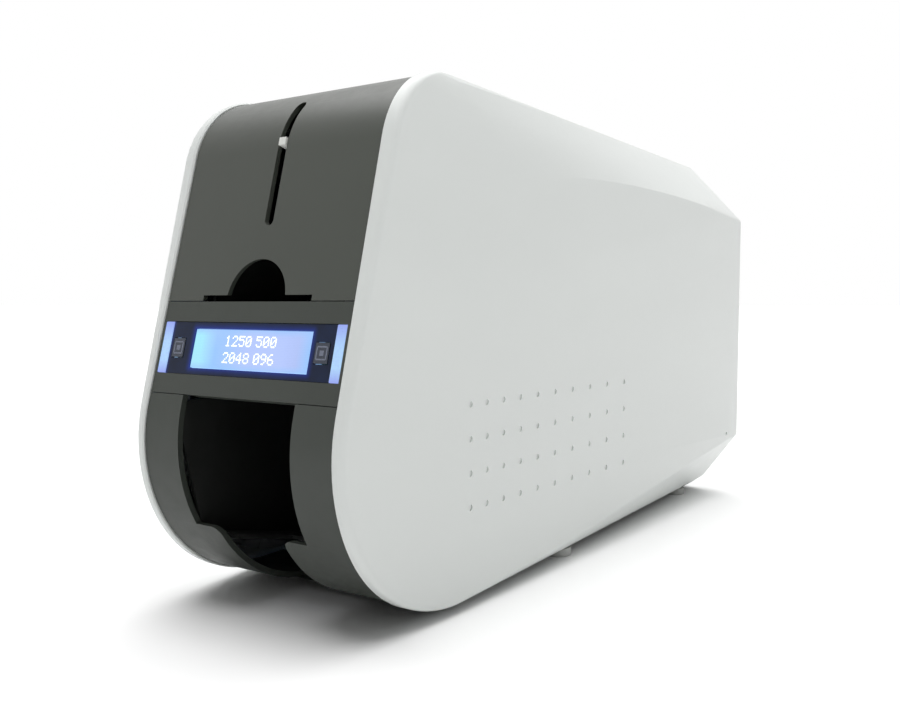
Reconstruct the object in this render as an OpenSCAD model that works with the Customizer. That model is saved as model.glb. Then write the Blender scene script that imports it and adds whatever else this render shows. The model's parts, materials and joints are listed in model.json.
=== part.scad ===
// Desktop ID card printer, upright and narrow, with a grey centre strip between two white side shells.
// The strip holds the hopper door, the display bezel and the open card stacker. Its works sit between
// two steel plates: card hopper, feed, print and exit rollers, ribbon cassette, print head and belts.
// Millimetres. X to the right, Y to the back, Z up; the origin is on the floor under the middle.
// Lengths that start at the front are measured back from the foremost point of the body.

/* [Body] */
// Width across the flanks at the back
body_w = 173; // [166:1:185]
// Length from the foremost point of the belly to the back
body_l = 373; // [366:1:400]
// Height above the floor
body_h = 218; // [212:1:226]
// Width across the two rims at the front
front_w = 111.6; // [110:0.2:114]
// Distance from the front at which the front width is measured
front_at = 12; // [6:1:20]
// Width of the grey centre strip
strip_w = 99.5; // [98.5:0.1:100]
// Gap between the strip and each shell
shut_gap = 0.3; // [0.2:0.05:0.6]
// Height of the feet below the body
foot_h = 4; // [3:0.5:6]
// Diameter of the feet
foot_dia = 15; // [12:0.5:16]
// Wall of the side shells
shell_wall = 2.4; // [1.8:0.1:2.8]
// Radius of the shells' edges
edge_r = 3.2; // [3:0.1:4]
// How far the rims stand proud of the strip
rim_proud = 1; // [0.4:0.1:1.6]
// Bevel of the rims towards the strip
rim_bevel = 0.6; // [0.3:0.1:0.8]

/* [Front curve] */
// Radius of the belly
belly_r = 66; // [64:0.5:68]
// Radius of the brow
brow_r = 40; // [36:1:44]
// Centre of the brow behind the front
brow_d = 68; // [66:0.5:71]

/* [Shell facets] */
// Half width of the flat top
top_edge_x = 52.2; // [51:0.1:53]
// Length of the slope behind the top
slope_d = 6; // [4:1:12]
// Height of the slope behind the top
slope_h = 38.5; // [34:0.5:44]
// Height of the upper crease at its middle
crease_z = 188; // [185:0.5:190]
// Half width of the lower edge
low_edge_x = 66; // [64:0.5:67]
// Height of the lower edge
low_edge_z = 8.5; // [7:0.5:11]
// Half width of the flat underside
under_x = 60; // [57:0.5:62]
// Top of the lower facet at the back
low_facet_z = 40; // [30:1:50]

/* [Vents] */
// Diameter of a vent dimple
dimple_dia = 2.6; // [2:0.1:3.4]
// Depth of a vent dimple
dimple_depth = 0.6; // [0.3:0.1:1]
// Vent columns
dimple_cols = 10; // [4:1:12]
// First vent column behind the front
dimple_first = 73.8; // [66:0.2:80]
// Spacing of the first two columns
dimple_pitch = 11.2; // [9:0.1:12]
// Growth of the spacing at each column
dimple_grow = 0.9; // [0:0.1:1.2]
// Vent rows
dimple_rows = 4; // [2:1:5]
// Height of the top row
dimple_top = 85.8; // [80:0.2:90]
// Spacing of the rows
dimple_row_pitch = 14.2; // [12:0.1:15]

/* [Strip pieces] */
// Wall of the door and of the top cover
skin_t = 2.2; // [1.8:0.1:2.6]
// Wall of the bezel
bezel_t = 2.5; // [2:0.1:3]
// Height of the joint between door and bezel
door_z = 127.8; // [126.5:0.1:129]
// Lower edge of the bezel
bezel_z = 90.8; // [89:0.1:93]
// Half width of the slot for single cards
slot_x = 29; // [28:0.5:30]
// Top of the slot for single cards
slot_z = 130; // [129.5:0.1:131]
// Radius of the half-moon finger cut
notch_r = 15.5; // [13:0.5:17]
// Width of the level slit
slit_w = 4.5; // [4.2:0.1:5.5]
// Lower end of the level slit
slit_z0 = 157.2; // [155:0.2:158]
// Upper end of the level slit
slit_z1 = 208.4; // [205:0.2:210]
// Radius of the rolled edge round each hinge
roll_r = 6; // [5.8:0.1:6.2]
// Diameter of the hinge pins
pin_dia = 3; // [2.4:0.1:3.4]

/* [Display] */
// Half width of the dark window
window_x = 43.6; // [43:0.1:44]
// Lower edge of the dark window
window_z0 = 98.6; // [98:0.1:99.5]
// Upper edge of the dark window
window_z1 = 119.5; // [118.6:0.1:120]
// Thickness of the dark window
window_t = 1.6; // [1.2:0.1:2]
// Left edge of the glowing screen
screen_x0 = -30; // [-31:0.5:-26]
// Right edge of the glowing screen
screen_x1 = 32.5; // [31:0.5:33.5]
// Lower edge of the screen
screen_z0 = 101.3; // [100.8:0.1:103]
// Upper edge of the screen
screen_z1 = 116.8; // [115:0.1:117.2]
// Width of a light bar
bar_w = 4.6; // [4:0.1:4.8]
// Half width to the middle of a button
button_x = 38.25; // [38:0.05:38.5]
// Width of a button
button_w = 6.5; // [5.5:0.1:6.8]
// Height of a button's middle
button_z = 109; // [107:0.1:111]
// Travel of a button
button_travel = 0.6; // [0.4:0.1:1]

/* [Stacker] */
// Half width of the stacker's mouth
mouth_x = 30; // [29:0.5:31]
// Height of the sill of the mouth
sill_z = 37.5; // [35:0.5:40]
// Half width of the finger gap in the sill
gap_x = 17.3; // [15:0.1:20]
// Height of the lower end of the finger gap
gap_z = 6; // [5.5:0.5:9]
// Wall of the stacker bin
bin_wall = 1.7; // [1.2:0.1:2]
// Back of the bin behind the front
bin_d = 104; // [101:0.5:105]

/* [Hopper] */
// Card width
card_w = 54; // [50:0.5:54.5]
// Card length
card_l = 85.6; // [80:0.2:86]
// Depth of the hopper floor's front edge
hopper_d = 17.5; // [17.2:0.1:18.5]
// Height of the hopper floor's front edge
hopper_z = 127; // [126:0.1:127.2]
// Wall of the hopper
hopper_wall = 2; // [1.6:0.1:2.4]
// Height of the hopper's side walls
hopper_h = 60; // [56:1:61]
// Height of the card weight above the floor, as parked
weight_up = 29; // [20:1:29]
// Thickness of the card weight
weight_t = 2.5; // [2:0.1:3]
// Height of the pointer above the weight's underside
pointer_up = 36.2; // [34:0.1:37]
// Diameter of the guide rods
rod_dia = 4; // [3.4:0.1:4.4]

/* [Frame] */
// Half gap between the frame plates
plate_in = 37; // [36.8:0.1:37.6]
// Thickness of the frame plates
plate_t = 2; // [1.6:0.1:2]
// Top of the frame plates
plate_top = 204; // [196:1:205]
// Diameter of the tie bars
tie_dia = 8; // [6:0.5:9]
// Diameter of the roller bushes
bush_dia = 10; // [9:0.1:10.5]

/* [Rollers and drive] */
// Height of the card path
path_z = 102; // [101.5:0.1:102.5]
// Diameter of the roller shafts
shaft_dia = 5; // [4:0.1:5.4]
// Running clearance of shafts and pins, on the radius
run = 0.05; // [0.03:0.01:0.08]
// Distance of the exit roller behind the front
exit_d = 113; // [112.5:0.5:114]
// Distance of the feed roller behind the front
feed_d = 140; // [138:1:142]
// Distance of the print line behind the front
print_d = 200; // [199:0.5:201]
// Distance of the rear roller behind the front
rear_d = 262; // [255:1:270]
// Radius of the platen
platen_r = 8; // [7:0.1:8.5]
// Radius of the feed and rear rollers
feed_r = 7.5; // [6.5:0.1:8]
// Radius of the exit roller
exit_r = 6; // [5.5:0.1:6.4]
// Radius of the pick roller
pick_r = 8; // [7:0.1:8.5]
// Radius of the feed pulleys
pulley_r = 9; // [8:0.1:9.5]
// Radius of the motor pulley
motor_pulley_r = 6; // [5:0.1:7]
// Width of the belts
belt_w = 4; // [3:0.1:4.4]
// Thickness of the belts
belt_t = 1.2; // [0.8:0.1:1.4]
// Gap between a belt and its pulleys
belt_gap = 0.3; // [0.2:0.05:0.4]

/* [Ribbon and head] */
// Radius of the full ribbon roll
roll_full_r = 17; // [14:0.5:18]
// Radius of the spool cores
core_r = 8; // [7:0.2:9]
// Width of the ribbon
ribbon_w = 55; // [52:0.5:56]
// Thickness of the ribbon web
web_t = 0.3; // [0.2:0.05:0.4]
// Throw of the head cams
cam_throw = 1.6; // [1.2:0.1:1.8]
// Radius of the head cams
cam_r = 6; // [5.4:0.1:6.4]

/* [Back panel] */
// Side of the fan frame
fan_side = 40; // [36:0.5:41]
// Depth of the fan frame
fan_depth = 10; // [8:0.5:11]
// Fan blades
fan_blades = 7; // [5:1:9]

/* [Hidden] */

// Y of a point that lies d behind the foremost point
function fy(d) = d - body_l / 2;

// What a wider, taller or longer body adds to places measured on the usual body
wider = (body_w - 173) / 2;
taller = body_h - 218;
longer = body_l - 373;

// Front curve: two arcs and their common tangent
belly_z = foot_h + belly_r;
brow_z = body_h - brow_r;
arc_dist = norm([brow_d - belly_r, brow_z - belly_z]);
lean = atan2(brow_d - belly_r, brow_z - belly_z) + asin((belly_r - brow_r) / arc_dist);
back_z = body_h - slope_h;
top_end = body_l - slope_d;
back_turn = atan2(slope_h, slope_d);
arc_step = 3;
function arc_of(c, r, a0, a1) = [
    for (i = [0:ceil(abs(a1 - a0) / arc_step)])
        let (a = a0 + (a1 - a0) * i / ceil(abs(a1 - a0) / arc_step))
            [c[0] + r * cos(a), c[1] + r * sin(a)]];
belly_c = [fy(belly_r), belly_z];
brow_c = [fy(brow_d), brow_z];
front_ang = 180 - lean;

// Flank: a plane that flares to the back
flare_run = body_l - edge_r - front_at;
flare = atan((body_w - front_w) / 2 / flare_run);
function flank_x(d) = front_w / 2 + (d - front_at) * tan(flare);
low_grow = wider * (belly_r * 2 - front_at) / flare_run;
low_x = low_edge_x + low_grow;
under = under_x + low_grow;

strip_x = strip_w / 2;
shell_in = strip_x + shut_gap;
piece_x = strip_x - shut_gap / 2;
plate_out = plate_in + plate_t;

// Frame of the straight front: y runs inward from the strip's surface, z runs up the slope
face_d = belly_r - (belly_r - rim_proud) * cos(lean);
face_z = belly_z + (belly_r - rim_proud) * sin(lean);
function lz(z) = (z - face_z) / cos(lean);
function face_at(z) = face_d + (z - face_z) * tan(lean);
module on_face() {
    translate([0, fy(face_d), face_z])
        rotate([-lean, 0, 0])
            children();
}

// Frame of the hopper: y runs down the card slope, z runs up the stack. It keeps its distance
// from the front when the slope changes
hopper_at = hopper_d + face_at(127) - 13.9717;
stack_h = hopper_h + taller;
weight_z = weight_up + taller;
module on_hopper() {
    translate([0, fy(hopper_at), hopper_z])
        rotate([-lean, 0, 0])
            children();
}
function hop_d(y, z) = hopper_at + y * cos(lean) + z * sin(lean);
function hop_z(y, z) = hopper_z - y * sin(lean) + z * cos(lean);

// Hinges: one rolled edge behind the door, one behind the cover
strip_top = body_h - rim_proud;
hinge_z = strip_top - roll_r;
door_hinge_d = brow_d + 1;
cover_hinge_d = top_end - roll_r - 2;
cover_open = 65;
ear_r = roll_r - skin_t - 0.4;
barrel_r = roll_r - skin_t + 0.3;
barrel_in = plate_out + 0.3;
barrel_len = 6;

// Hopper and card weight
tray_x = card_w / 2 + 1;
tray_out = tray_x + hopper_wall;
tray_l = card_l + 4.4;
rod_x = tray_out + 3.5;
rod_y = 60;
collar_r = rod_dia / 2 + 1;

// Rollers
pick_y = 40;
pick_drop = pick_r - 0.3;
pick_at = [hop_d(pick_y, -pick_drop), hop_z(pick_y, -pick_drop)];
exit_at = [exit_d, path_z - 10 - exit_r];
feed_at = [feed_d, path_z - feed_r];
platen_at = [print_d, path_z - platen_r];
rear_at = [rear_d, path_z - feed_r];
idler_r = 6;
idler_shaft_r = 2;
card_gap = 1;
clean_at = [feed_d, path_z + card_gap + idler_r];
idler_at = [rear_d, path_z + card_gap + idler_r];
motor_at = [print_d, path_z - 47];
motor_side = 36;
motor_len = 27;
pulley_x = plate_out + 2;
pulley_w = belt_w + 1;
outer_pulley_x = pulley_x + pulley_w + 1;
exit_pulley_r = 7;
platen_pulley_r = pulley_r + feed_at[1] - platen_at[1];
pick_pulley_r = 7;
shaft_r = shaft_dia / 2;

// Ribbon and head
spool_z = path_z + 44;
take_at = [print_d - 42, spool_z];
supply_at = [print_d + 45, spool_z + 2];
web_z = path_z + 1.6;
head_drop = 3.4;
head_z = path_z + 2.1 + head_drop;
head_pivot = [print_d - 50, path_z + 16];
cam_at = [print_d - 10, path_z + 26];
arm_top = cam_at[1] + cam_throw - cam_r - 0.4;
cheek_x = ribbon_w / 2 + 1.5;
cheek_t = 2;
journal_r = 4;
gate_at = [exit_d + 13, path_z - 5];

// Back panel
panel_y = fy(body_l) - rim_proud;
panel_in = panel_y - bezel_t;
fan_x = -15;
fan_z = 50;
switch_at = [22, 96];
usb_at = [22, 40];
dc_at = [22, 68];

module along_x(x0, x1) {
    translate([x0, 0, 0])
        rotate([90, 0, 90])
            linear_extrude(x1 - x0)
                children();
}

// Cylinder along X, given by its place behind the front and its height
module rod_x(x0, x1, at, r) {
    translate([x0, fy(at[0]), at[1]])
        rotate([0, 90, 0])
            cylinder(r = r, h = x1 - x0, $fn = 48);
}

module both_sides() {
    children();
    mirror([1, 0, 0]) children();
}

// Side outline of the strip, i inside the rims
function outline(i) = concat(
    arc_of(belly_c, belly_r - i, 270, front_ang),
    arc_of(brow_c, brow_r - i, front_ang, 90),
    [[fy(top_end) - i * tan(back_turn / 2), body_h - i],
     [fy(body_l) - i, back_z - i * tan((90 - back_turn) / 2)],
     [fy(body_l) - i, foot_h + i]]);

// Point where a line from p touches the circle round c; side is 1 or -1
function touch(c, r, p, side) =
    let (v = c - p, l = norm(v), a = side * asin(r / l), b = atan2(v[1], v[0]) + a,
         t = sqrt(l * l - r * r))
        [p[0] + t * cos(b), p[1] + t * sin(b)];

// Height of the crease where the upper facet meets the flank; it bows up in the middle
function crease(d) = crease_top - (d < crease_d
    ? crease_fall * pow((crease_d - d) / (crease_d - brow_d), 2)
    : (crease_top - crease_end) * pow((d - crease_d) / (body_l - crease_d), 2));
crease_top = crease_z + taller;
crease_d = 225;
crease_fall = 12;
crease_low = 1.2;
crease_end = back_z + crease_low;
facet_d = 95;
facet_steps = 16;
facet_fade = 1.9;
crease_steps = 6;

// What the twisted upper facet takes off the flank, w inside the outer surface. Its section is
// straight at the back; to the front it bulges with the shell, so that the facet fades in
module facet_cut(w) {
    out = body_w / 2 + 15;
    high = body_h + 15;
    c = [top_edge_x, body_h - edge_r];
    end = body_l + 4;
    parts = 4;
    ring = parts + 4;
    corner = parts + 2;
    pts = [for (i = [0:facet_steps])
        let (u = i / facet_steps,
             d = facet_d + (end - facet_d) * u,
             top_d = brow_d + (end - brow_d) * pow(u, 1.25),
             b = [flank_x(d) - w / cos(flare), crease(d) - 0.3 * w],
             t = touch(c, edge_r - w, b, -1),
             v = b - t,
             fade = facet_fade * pow(max(0, 1 - 2.2 * u), 2) / norm(v))
            each concat(
                [for (k = [0:parts])
                    let (s = k / parts, f = fade * (1 - s) * (4 * s + 0.4),
                         q = t + s * v + f * [-v[1], v[0]])
                        [q[0], fy(top_d + (d - top_d) * s), q[1]]],
                [[out, fy(d), b[1]], [out, fy(d), high], [t[0], fy(top_d), high]])];
    n = ring * facet_steps;
    polyhedron(pts, concat(
        [for (k = [0:ring - 1]) if (k != corner && k != corner - 1)
            [(k + 1) % ring, k, corner]],
        [for (k = [0:ring - 1]) if (k != corner && k != corner - 1)
            [n + k, n + (k + 1) % ring, n + corner]],
        [for (i = [0:facet_steps - 1]) for (k = [0:ring - 1])
            let (a = ring * i + k, b = ring * i + (k + 1) % ring)
                each [[a, b, a + ring], [b, b + ring, a + ring]]]));
}

// Shell solid of the right half, w inside its outer surface
module half_form(w) {
    r = edge_r - w;
    bevel = w > 0 ? 0 : rim_bevel;
    fine = w > 0 ? 12 : 32;
    round_fine = w > 0 ? 60 : 120;
    brow_n = w > 0 ? 5 : 10;
    x_in = shell_in - (w > 0 ? 6 : 0);
    ring_x = flank_x(belly_r) - edge_r / cos(flare);
    corner_d = body_l - edge_r;
    corner_x = flank_x(corner_d) - edge_r / cos(flare);
    lean_x = flank_x(brow_d - brow_r) - edge_r;
    hull() {
        // Belly edge in the plane of the flank
        translate([ring_x, fy(belly_r), belly_z])
            rotate([0, 0, -flare])
                scale([1, 1 / cos(flare), 1])
                    rotate([0, 90, 0])
                        rotate_extrude($fn = 3 * fine)
                            translate([belly_r - edge_r, 0])
                                circle(r = r, $fn = fine);
        // Rim faces of belly and brow, with a small bevel towards the strip
        for (q = [[belly_r, belly_z, belly_r], [brow_d, brow_z, brow_r]])
            translate([x_in, fy(q[0]), q[1]])
                rotate([0, 90, 0]) {
                    cylinder(r = q[2] - w - bevel, h = 1, $fn = round_fine);
                    translate([0, 0, bevel])
                        cylinder(r = q[2] - w, h = front_w / 2 - edge_r - x_in - bevel,
                                 $fn = round_fine);
                }
        // Brow edge, drawn in to the top edge
        for (i = [0:brow_n])
            let (a = front_ang + (90 - front_ang) * i / brow_n)
                translate([lean_x + (top_edge_x - lean_x) * i / brow_n,
                           fy(brow_d + (brow_r - edge_r) * cos(a)),
                           brow_z + (brow_r - edge_r) * sin(a)])
                    sphere(r = r, $fn = fine);
        // Crease along the flank
        for (i = [0:crease_steps - 1])
            let (d = facet_d + (corner_d - facet_d) * i / crease_steps)
                translate([flank_x(d) - edge_r / cos(flare), fy(d), crease(d) - crease_low])
                    sphere(r = r, $fn = fine);
        // Top edge
        translate([top_edge_x, fy(top_end - edge_r), body_h - edge_r])
            sphere(r = r, $fn = fine);
        // Back edges
        for (z = [back_z, low_facet_z])
            translate([corner_x, fy(corner_d), z])
                sphere(r = r, $fn = fine);
        for (q = [[top_end - edge_r, body_h - edge_r], [corner_d, back_z],
                  [corner_d, foot_h + 2 * edge_r]])
            translate([x_in, fy(q[0]), q[1]])
                rotate([0, 90, 0]) {
                    cylinder(r = r - bevel, h = 2, $fn = fine);
                    translate([0, 0, bevel])
                        cylinder(r = r, h = 2, $fn = fine);
                }
        // Lower edge and flat underside
        for (d = [135, corner_d - 2])
            translate([low_x - edge_r, fy(d), low_edge_z + edge_r])
                sphere(r = r, $fn = fine);
        for (x = [x_in + edge_r, under - edge_r])
            translate([x, fy(corner_d - 4), foot_h + edge_r])
                sphere(r = r, $fn = fine);
        translate([under - edge_r, fy(belly_r), foot_h + edge_r])
            sphere(r = r, $fn = fine);
    }
}

pin_hole_z = 41.6;
post_at = [[92, 172 + taller], [318 + longer, 172 + taller], [346 + longer, 66], [84, 40]];
function dimple_d(i) = dimple_first + i * dimple_pitch + dimple_grow * i * (i - 1) / 2;

module side_shell() {
    difference() {
        half_form(0);
        facet_cut(0);
        difference() {
            half_form(shell_wall);
            facet_cut(shell_wall);
        }
        // Inner side, level with the shut gap
        translate([shell_in - 30, fy(-5), -5])
            cube([30, body_l + 10, body_h + 10]);
        // Vent dimples
        for (i = [0:dimple_cols - 1])
            for (j = [0:dimple_rows - 1])
                let (d = dimple_d(i))
                    translate([flank_x(d), fy(d), dimple_top - j * dimple_row_pitch])
                        rotate([0, 0, -flare])
                            rotate([0, 90, 0])
                                translate([0, 0, -dimple_depth])
                                    cylinder(d = dimple_dia, h = 4, $fn = 24);
        // Pin hole low at the back
        translate([flank_x(body_l - 21.3) - shell_wall - 2, fy(body_l - 21.3), pin_hole_z])
            rotate([0, 90, 0])
                cylinder(d = 2, h = 8, $fn = 24);
    }
    for (p = post_at)
        rod_x(plate_out, flank_x(p[0]) - shell_wall / 2, p, 3.5);
}

module right_side_shell() {
    color("white") side_shell();
}

module left_side_shell() {
    color("white") mirror([1, 0, 0]) side_shell();
}

pan_t = 2;
pan_d0 = 80;
pan_in = 12;
module base_pan() {
    color("dimgray")
        difference() {
            translate([-piece_x, fy(pan_d0), foot_h])
                cube([2 * piece_x, body_l - pan_d0 - 6, pan_t]);
            // Cooling slots
            for (i = [0:7])
                for (s = [-1, 1])
                    translate([s * 18 - 10, fy(150 + 16 * i), foot_h - 1])
                        cube([20, 4, pan_t + 2]);
        }
}

module rear_panel() {
    color("dimgray") {
        difference() {
            along_x(-piece_x, piece_x)
                difference() {
                    polygon(outline(rim_proud));
                    polygon(outline(rim_proud + bezel_t));
                    translate([fy(0) - 5, 0])
                        square([cover_hinge_d + 4 + 5, body_h + 5]);
                    translate([fy(0) - 5, 0])
                        square([body_l - 8 + 5, back_z - 20]);
                    // Room for the rolled edge and for the cover when it is open
                    translate([fy(cover_hinge_d), hinge_z]) {
                        circle(r = roll_r + 0.4, $fn = 96);
                        rotate(-cover_open)
                            translate([-60, 0])
                                square([60, roll_r + 0.4]);
                    }
                    translate([fy(0), -1])
                        square([body_l + 5, foot_h + pan_t + 1.1]);
                }
            // Fan grille: slots in rings of bars
            for (i = [-4:4])
                let (h = sqrt(pow(fan_side / 2 - 2, 2) - pow(i * 4, 2)))
                    translate([fan_x + i * 4 - 1.2, panel_in - 1, fan_z - h])
                        cube([2.4, bezel_t + 2, 2 * h]);
            translate([usb_at[0] - 6.15, panel_in - 1, usb_at[1] - 5.65])
                cube([12.3, bezel_t + 2, 11.3]);
            translate([dc_at[0], panel_in - 1, dc_at[1]])
                rotate([-90, 0, 0])
                    cylinder(r = 5.5, h = bezel_t + 2, $fn = 48);
            translate([switch_at[0] - 6.5, panel_in - 1, switch_at[1] - 9.9])
                cube([13, bezel_t + 2, 19.8]);
        }
        // Lugs that carry the rocker
        for (s = [-1, 1])
            difference() {
                translate([switch_at[0] + s * 7.6 - 1.1, panel_in - 8, switch_at[1] - 4])
                    cube([2.2, 8.01, 8]);
                translate([switch_at[0] + s * 7.6 - 2, panel_in - 4, switch_at[1]])
                    rotate([0, 90, 0])
                        cylinder(r = 1 + run, h = 4, $fn = 32);
            }
    }
}

// Outline of a rolled hinge edge that ends a skin
function rolled(hinge_d, r, a0, a1) = arc_of([fy(hinge_d), hinge_z], r, a0, a1);
roll_end = 22;

module hinge_barrels(hinge_d) {
    both_sides()
        difference() {
            rod_x(barrel_in, barrel_in + barrel_len, [hinge_d, hinge_z], barrel_r);
            rod_x(barrel_in - 1, barrel_in + barrel_len + 1, [hinge_d, hinge_z],
                  pin_dia / 2 + run);
        }
}

module top_cover() {
    front_d = door_hinge_d + roll_r + 0.5;
    color("dimgray")
        difference() {
            union() {
                along_x(-piece_x, piece_x)
                    polygon(concat(
                        [[fy(front_d), strip_top - skin_t], [fy(front_d), strip_top]],
                        rolled(cover_hinge_d, roll_r, 90, roll_end),
                        rolled(cover_hinge_d, roll_r - skin_t, roll_end, 90)));
                hinge_barrels(cover_hinge_d);
                // Stiffening flanges
                for (x = [-piece_x + 2.5, piece_x - 4.5])
                    translate([x, fy(front_d + 4), strip_top - 8])
                        cube([2, cover_hinge_d - front_d - 30, 8 - skin_t + 0.5]);
            }
            rod_x(-barrel_in - barrel_len - 1, barrel_in + barrel_len + 1,
                  [cover_hinge_d, hinge_z], pin_dia / 2 + run);
        }
}

module hinge_pins() {
    color("silver")
        for (d = [door_hinge_d, cover_hinge_d])
            both_sides()
                rod_x(plate_in, barrel_in + barrel_len - 0.5, [d, hinge_z], pin_dia / 2);
}

// Points of the strip's straight face at height z, i inside the rims
function face_pt(z, i) = [
    fy(belly_r - (belly_r - i) * cos(lean) + (z - belly_z - (belly_r - i) * sin(lean)) * tan(lean)),
    z];

module hopper_door() {
    z0 = door_z;
    slit_top = slit_z1 + taller;
    color("dimgray")
        difference() {
            union() {
                along_x(-piece_x, piece_x)
                    polygon(concat(
                        [face_pt(z0, rim_proud)],
                        arc_of(brow_c, brow_r - rim_proud, front_ang, 90),
                        rolled(door_hinge_d, roll_r, 90, roll_end),
                        rolled(door_hinge_d, roll_r - skin_t, roll_end, 90),
                        arc_of(brow_c, brow_r - rim_proud - skin_t, 90, front_ang),
                        [face_pt(z0, rim_proud + skin_t)]));
                hinge_barrels(door_hinge_d);
            }
            rod_x(-barrel_in - barrel_len - 1, barrel_in + barrel_len + 1,
                  [door_hinge_d, hinge_z], pin_dia / 2 + run);
            // Slot for single cards
            translate([-slot_x, fy(0), z0 - 1])
                cube([2 * slot_x, 30, slot_z - z0 + 1]);
            // Half-moon finger cut
            translate([0, fy(0), slot_z - 1.6])
                rotate([-90, 0, 0])
                    cylinder(r = notch_r, h = 30, $fn = 96);
            // Level slit
            translate([0, fy(0), slit_z0 + slit_w / 2])
                rotate([-90, 0, 0])
                    cylinder(d = slit_w, h = brow_d - 8, $fn = 48);
            translate([-slit_w / 2, fy(0), slit_z0 + slit_w / 2])
                cube([slit_w, brow_d - 8, slit_top - slit_z0 - slit_w]);
            translate([0, fy(0), slit_top - slit_w / 2])
                rotate([-90, 0, 0])
                    cylinder(d = slit_w, h = brow_d - 8, $fn = 48);
        }
}

bar_x0 = window_x + 0.15;
module front_bezel() {
    z0 = lz(bezel_z);
    z1 = lz(door_z) - 0.3;
    color("dimgray")
        on_face() {
            difference() {
                translate([-piece_x, 0, z0])
                    cube([2 * piece_x, bezel_t, z1 - z0]);
                translate([-window_x - 0.1, -1, lz(window_z0)])
                    cube([2 * window_x + 0.2, bezel_t + 2, lz(window_z1) - lz(window_z0)]);
                both_sides()
                    translate([bar_x0 - 0.05, -1, lz(window_z0) + 0.1])
                        cube([bar_w + 0.1, bezel_t + 2, lz(window_z1) - lz(window_z0) - 0.2]);
            }
            // Ribs that lie against the frame plates
            both_sides()
                for (z = [[z0 + 0.5, lz(window_z0) - 1.5], [lz(window_z1) + 1, z1 - 0.5]])
                    translate([plate_out, bezel_t - 0.5, z[0]])
                        cube([2, 16, z[1] - z[0]]);
            // Lip over the mouth
            translate([-mouth_x + 1, bezel_t - 0.5, z0])
                cube([2 * mouth_x - 2, 5, 1.6]);
        }
}

module display_window() {
    h = lz(window_z1) - lz(window_z0) - 0.2;
    color("midnightblue")
        on_face()
            difference() {
                translate([-window_x, 0.3, lz(window_z0) + 0.1])
                    cube([2 * window_x, window_t, h]);
                translate([screen_x0, -1, lz(screen_z0)])
                    cube([screen_x1 - screen_x0, window_t + 3, lz(screen_z1) - lz(screen_z0)]);
                both_sides()
                    translate([button_x - button_w / 2 - 0.3, -1,
                               lz(button_z) - button_w / 2 - 0.9])
                        cube([button_w + 0.6, window_t + 3, button_w + 1.8]);
            }
}

board_y = 6.4;
module lcd_module() {
    h = lz(screen_z1) - lz(screen_z0);
    color("lightskyblue")
        on_face() {
            translate([screen_x0 + 0.2, 0.6, lz(screen_z0) + 0.2])
                cube([screen_x1 - screen_x0 - 0.4, 3, h - 0.4]);
            translate([screen_x0 - 2, 0.3 + window_t, lz(screen_z0) - 1.5])
                cube([screen_x1 - screen_x0 + 3, board_y - window_t - 0.3, h + 3]);
        }
}

module light_bars() {
    color("lightcyan")
        on_face()
            both_sides() {
                translate([bar_x0, 0.1, lz(window_z0) + 0.2])
                    cube([bar_w, bezel_t - 0.1, lz(window_z1) - lz(window_z0) - 0.4]);
                translate([bar_x0 - 2, bezel_t, lz(window_z0) + 4])
                    cube([2 + bar_w, 1.2, lz(window_z1) - lz(window_z0) - 8]);
            }
}

module push_button() {
    z = lz(button_z);
    on_face() {
        translate([button_x - button_w / 2, 0.1, z - button_w / 2 - 0.6])
            cube([button_w, window_t - 0.1, button_w + 1.2]);
        translate([button_x, window_t - 0.2, z])
            rotate([-90, 0, 0])
                cylinder(r = 1.5, h = board_y - window_t + 0.2 - button_travel - 0.4, $fn = 32);
    }
}

module right_button() {
    color("midnightblue") push_button();
}

module left_button() {
    color("midnightblue") mirror([1, 0, 0]) push_button();
}

module display_board() {
    color("darkgreen")
        on_face() {
            translate([-plate_in - 1.8, board_y, lz(window_z0) - 3])
                cube([2 * plate_in + 3.6, 1.6, lz(window_z1) - lz(window_z0) + 5]);
            translate([-12, board_y + 1.6, lz(window_z0) + 2])
                cube([24, 4, 7]);
        }
}

// Half plane above the bezel's lower edge
module under_bezel() {
    translate([fy(face_d), face_z])
        rotate(-lean)
            translate([-40, lz(bezel_z) - 0.3])
                square([body_l + 40, body_h]);
}

module output_frame() {
    leg_d = pan_d0 - 0.3;
    color("dimgray") {
        difference() {
            along_x(-piece_x, piece_x)
                difference() {
                    polygon(outline(rim_proud));
                    polygon(outline(rim_proud + bezel_t));
                    under_bezel();
                    translate([fy(leg_d), 0])
                        square([body_l, body_h]);
                }
            // Mouth of the stacker
            translate([-mouth_x, fy(0) - 1, sill_z])
                cube([2 * mouth_x, 40, bezel_z]);
            // Finger gap with rounded upper corners
            translate([-gap_x, fy(0) - 1, gap_z])
                cube([2 * gap_x, 60, sill_z - gap_z - 4]);
            difference() {
                translate([-gap_x - 4, fy(0) - 1, sill_z - 4])
                    cube([2 * gap_x + 8, 40, 5]);
                both_sides()
                    translate([gap_x + 4, fy(0) - 2, sill_z - 4])
                        rotate([-90, 0, 0])
                            cylinder(r = 4, h = 42, $fn = 48);
            }
        }
        // Ribs that lie against the frame plates
        both_sides()
            along_x(plate_out, plate_out + 2)
                difference() {
                    polygon(outline(rim_proud + bezel_t - 0.5));
                    polygon(outline(rim_proud + bezel_t + 14));
                    under_bezel();
                    translate([fy(0) - 5, 0])
                        square([body_l + 10, 24]);
                    translate([fy(60), 0])
                        square([body_l, body_h]);
                }
    }
}

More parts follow.
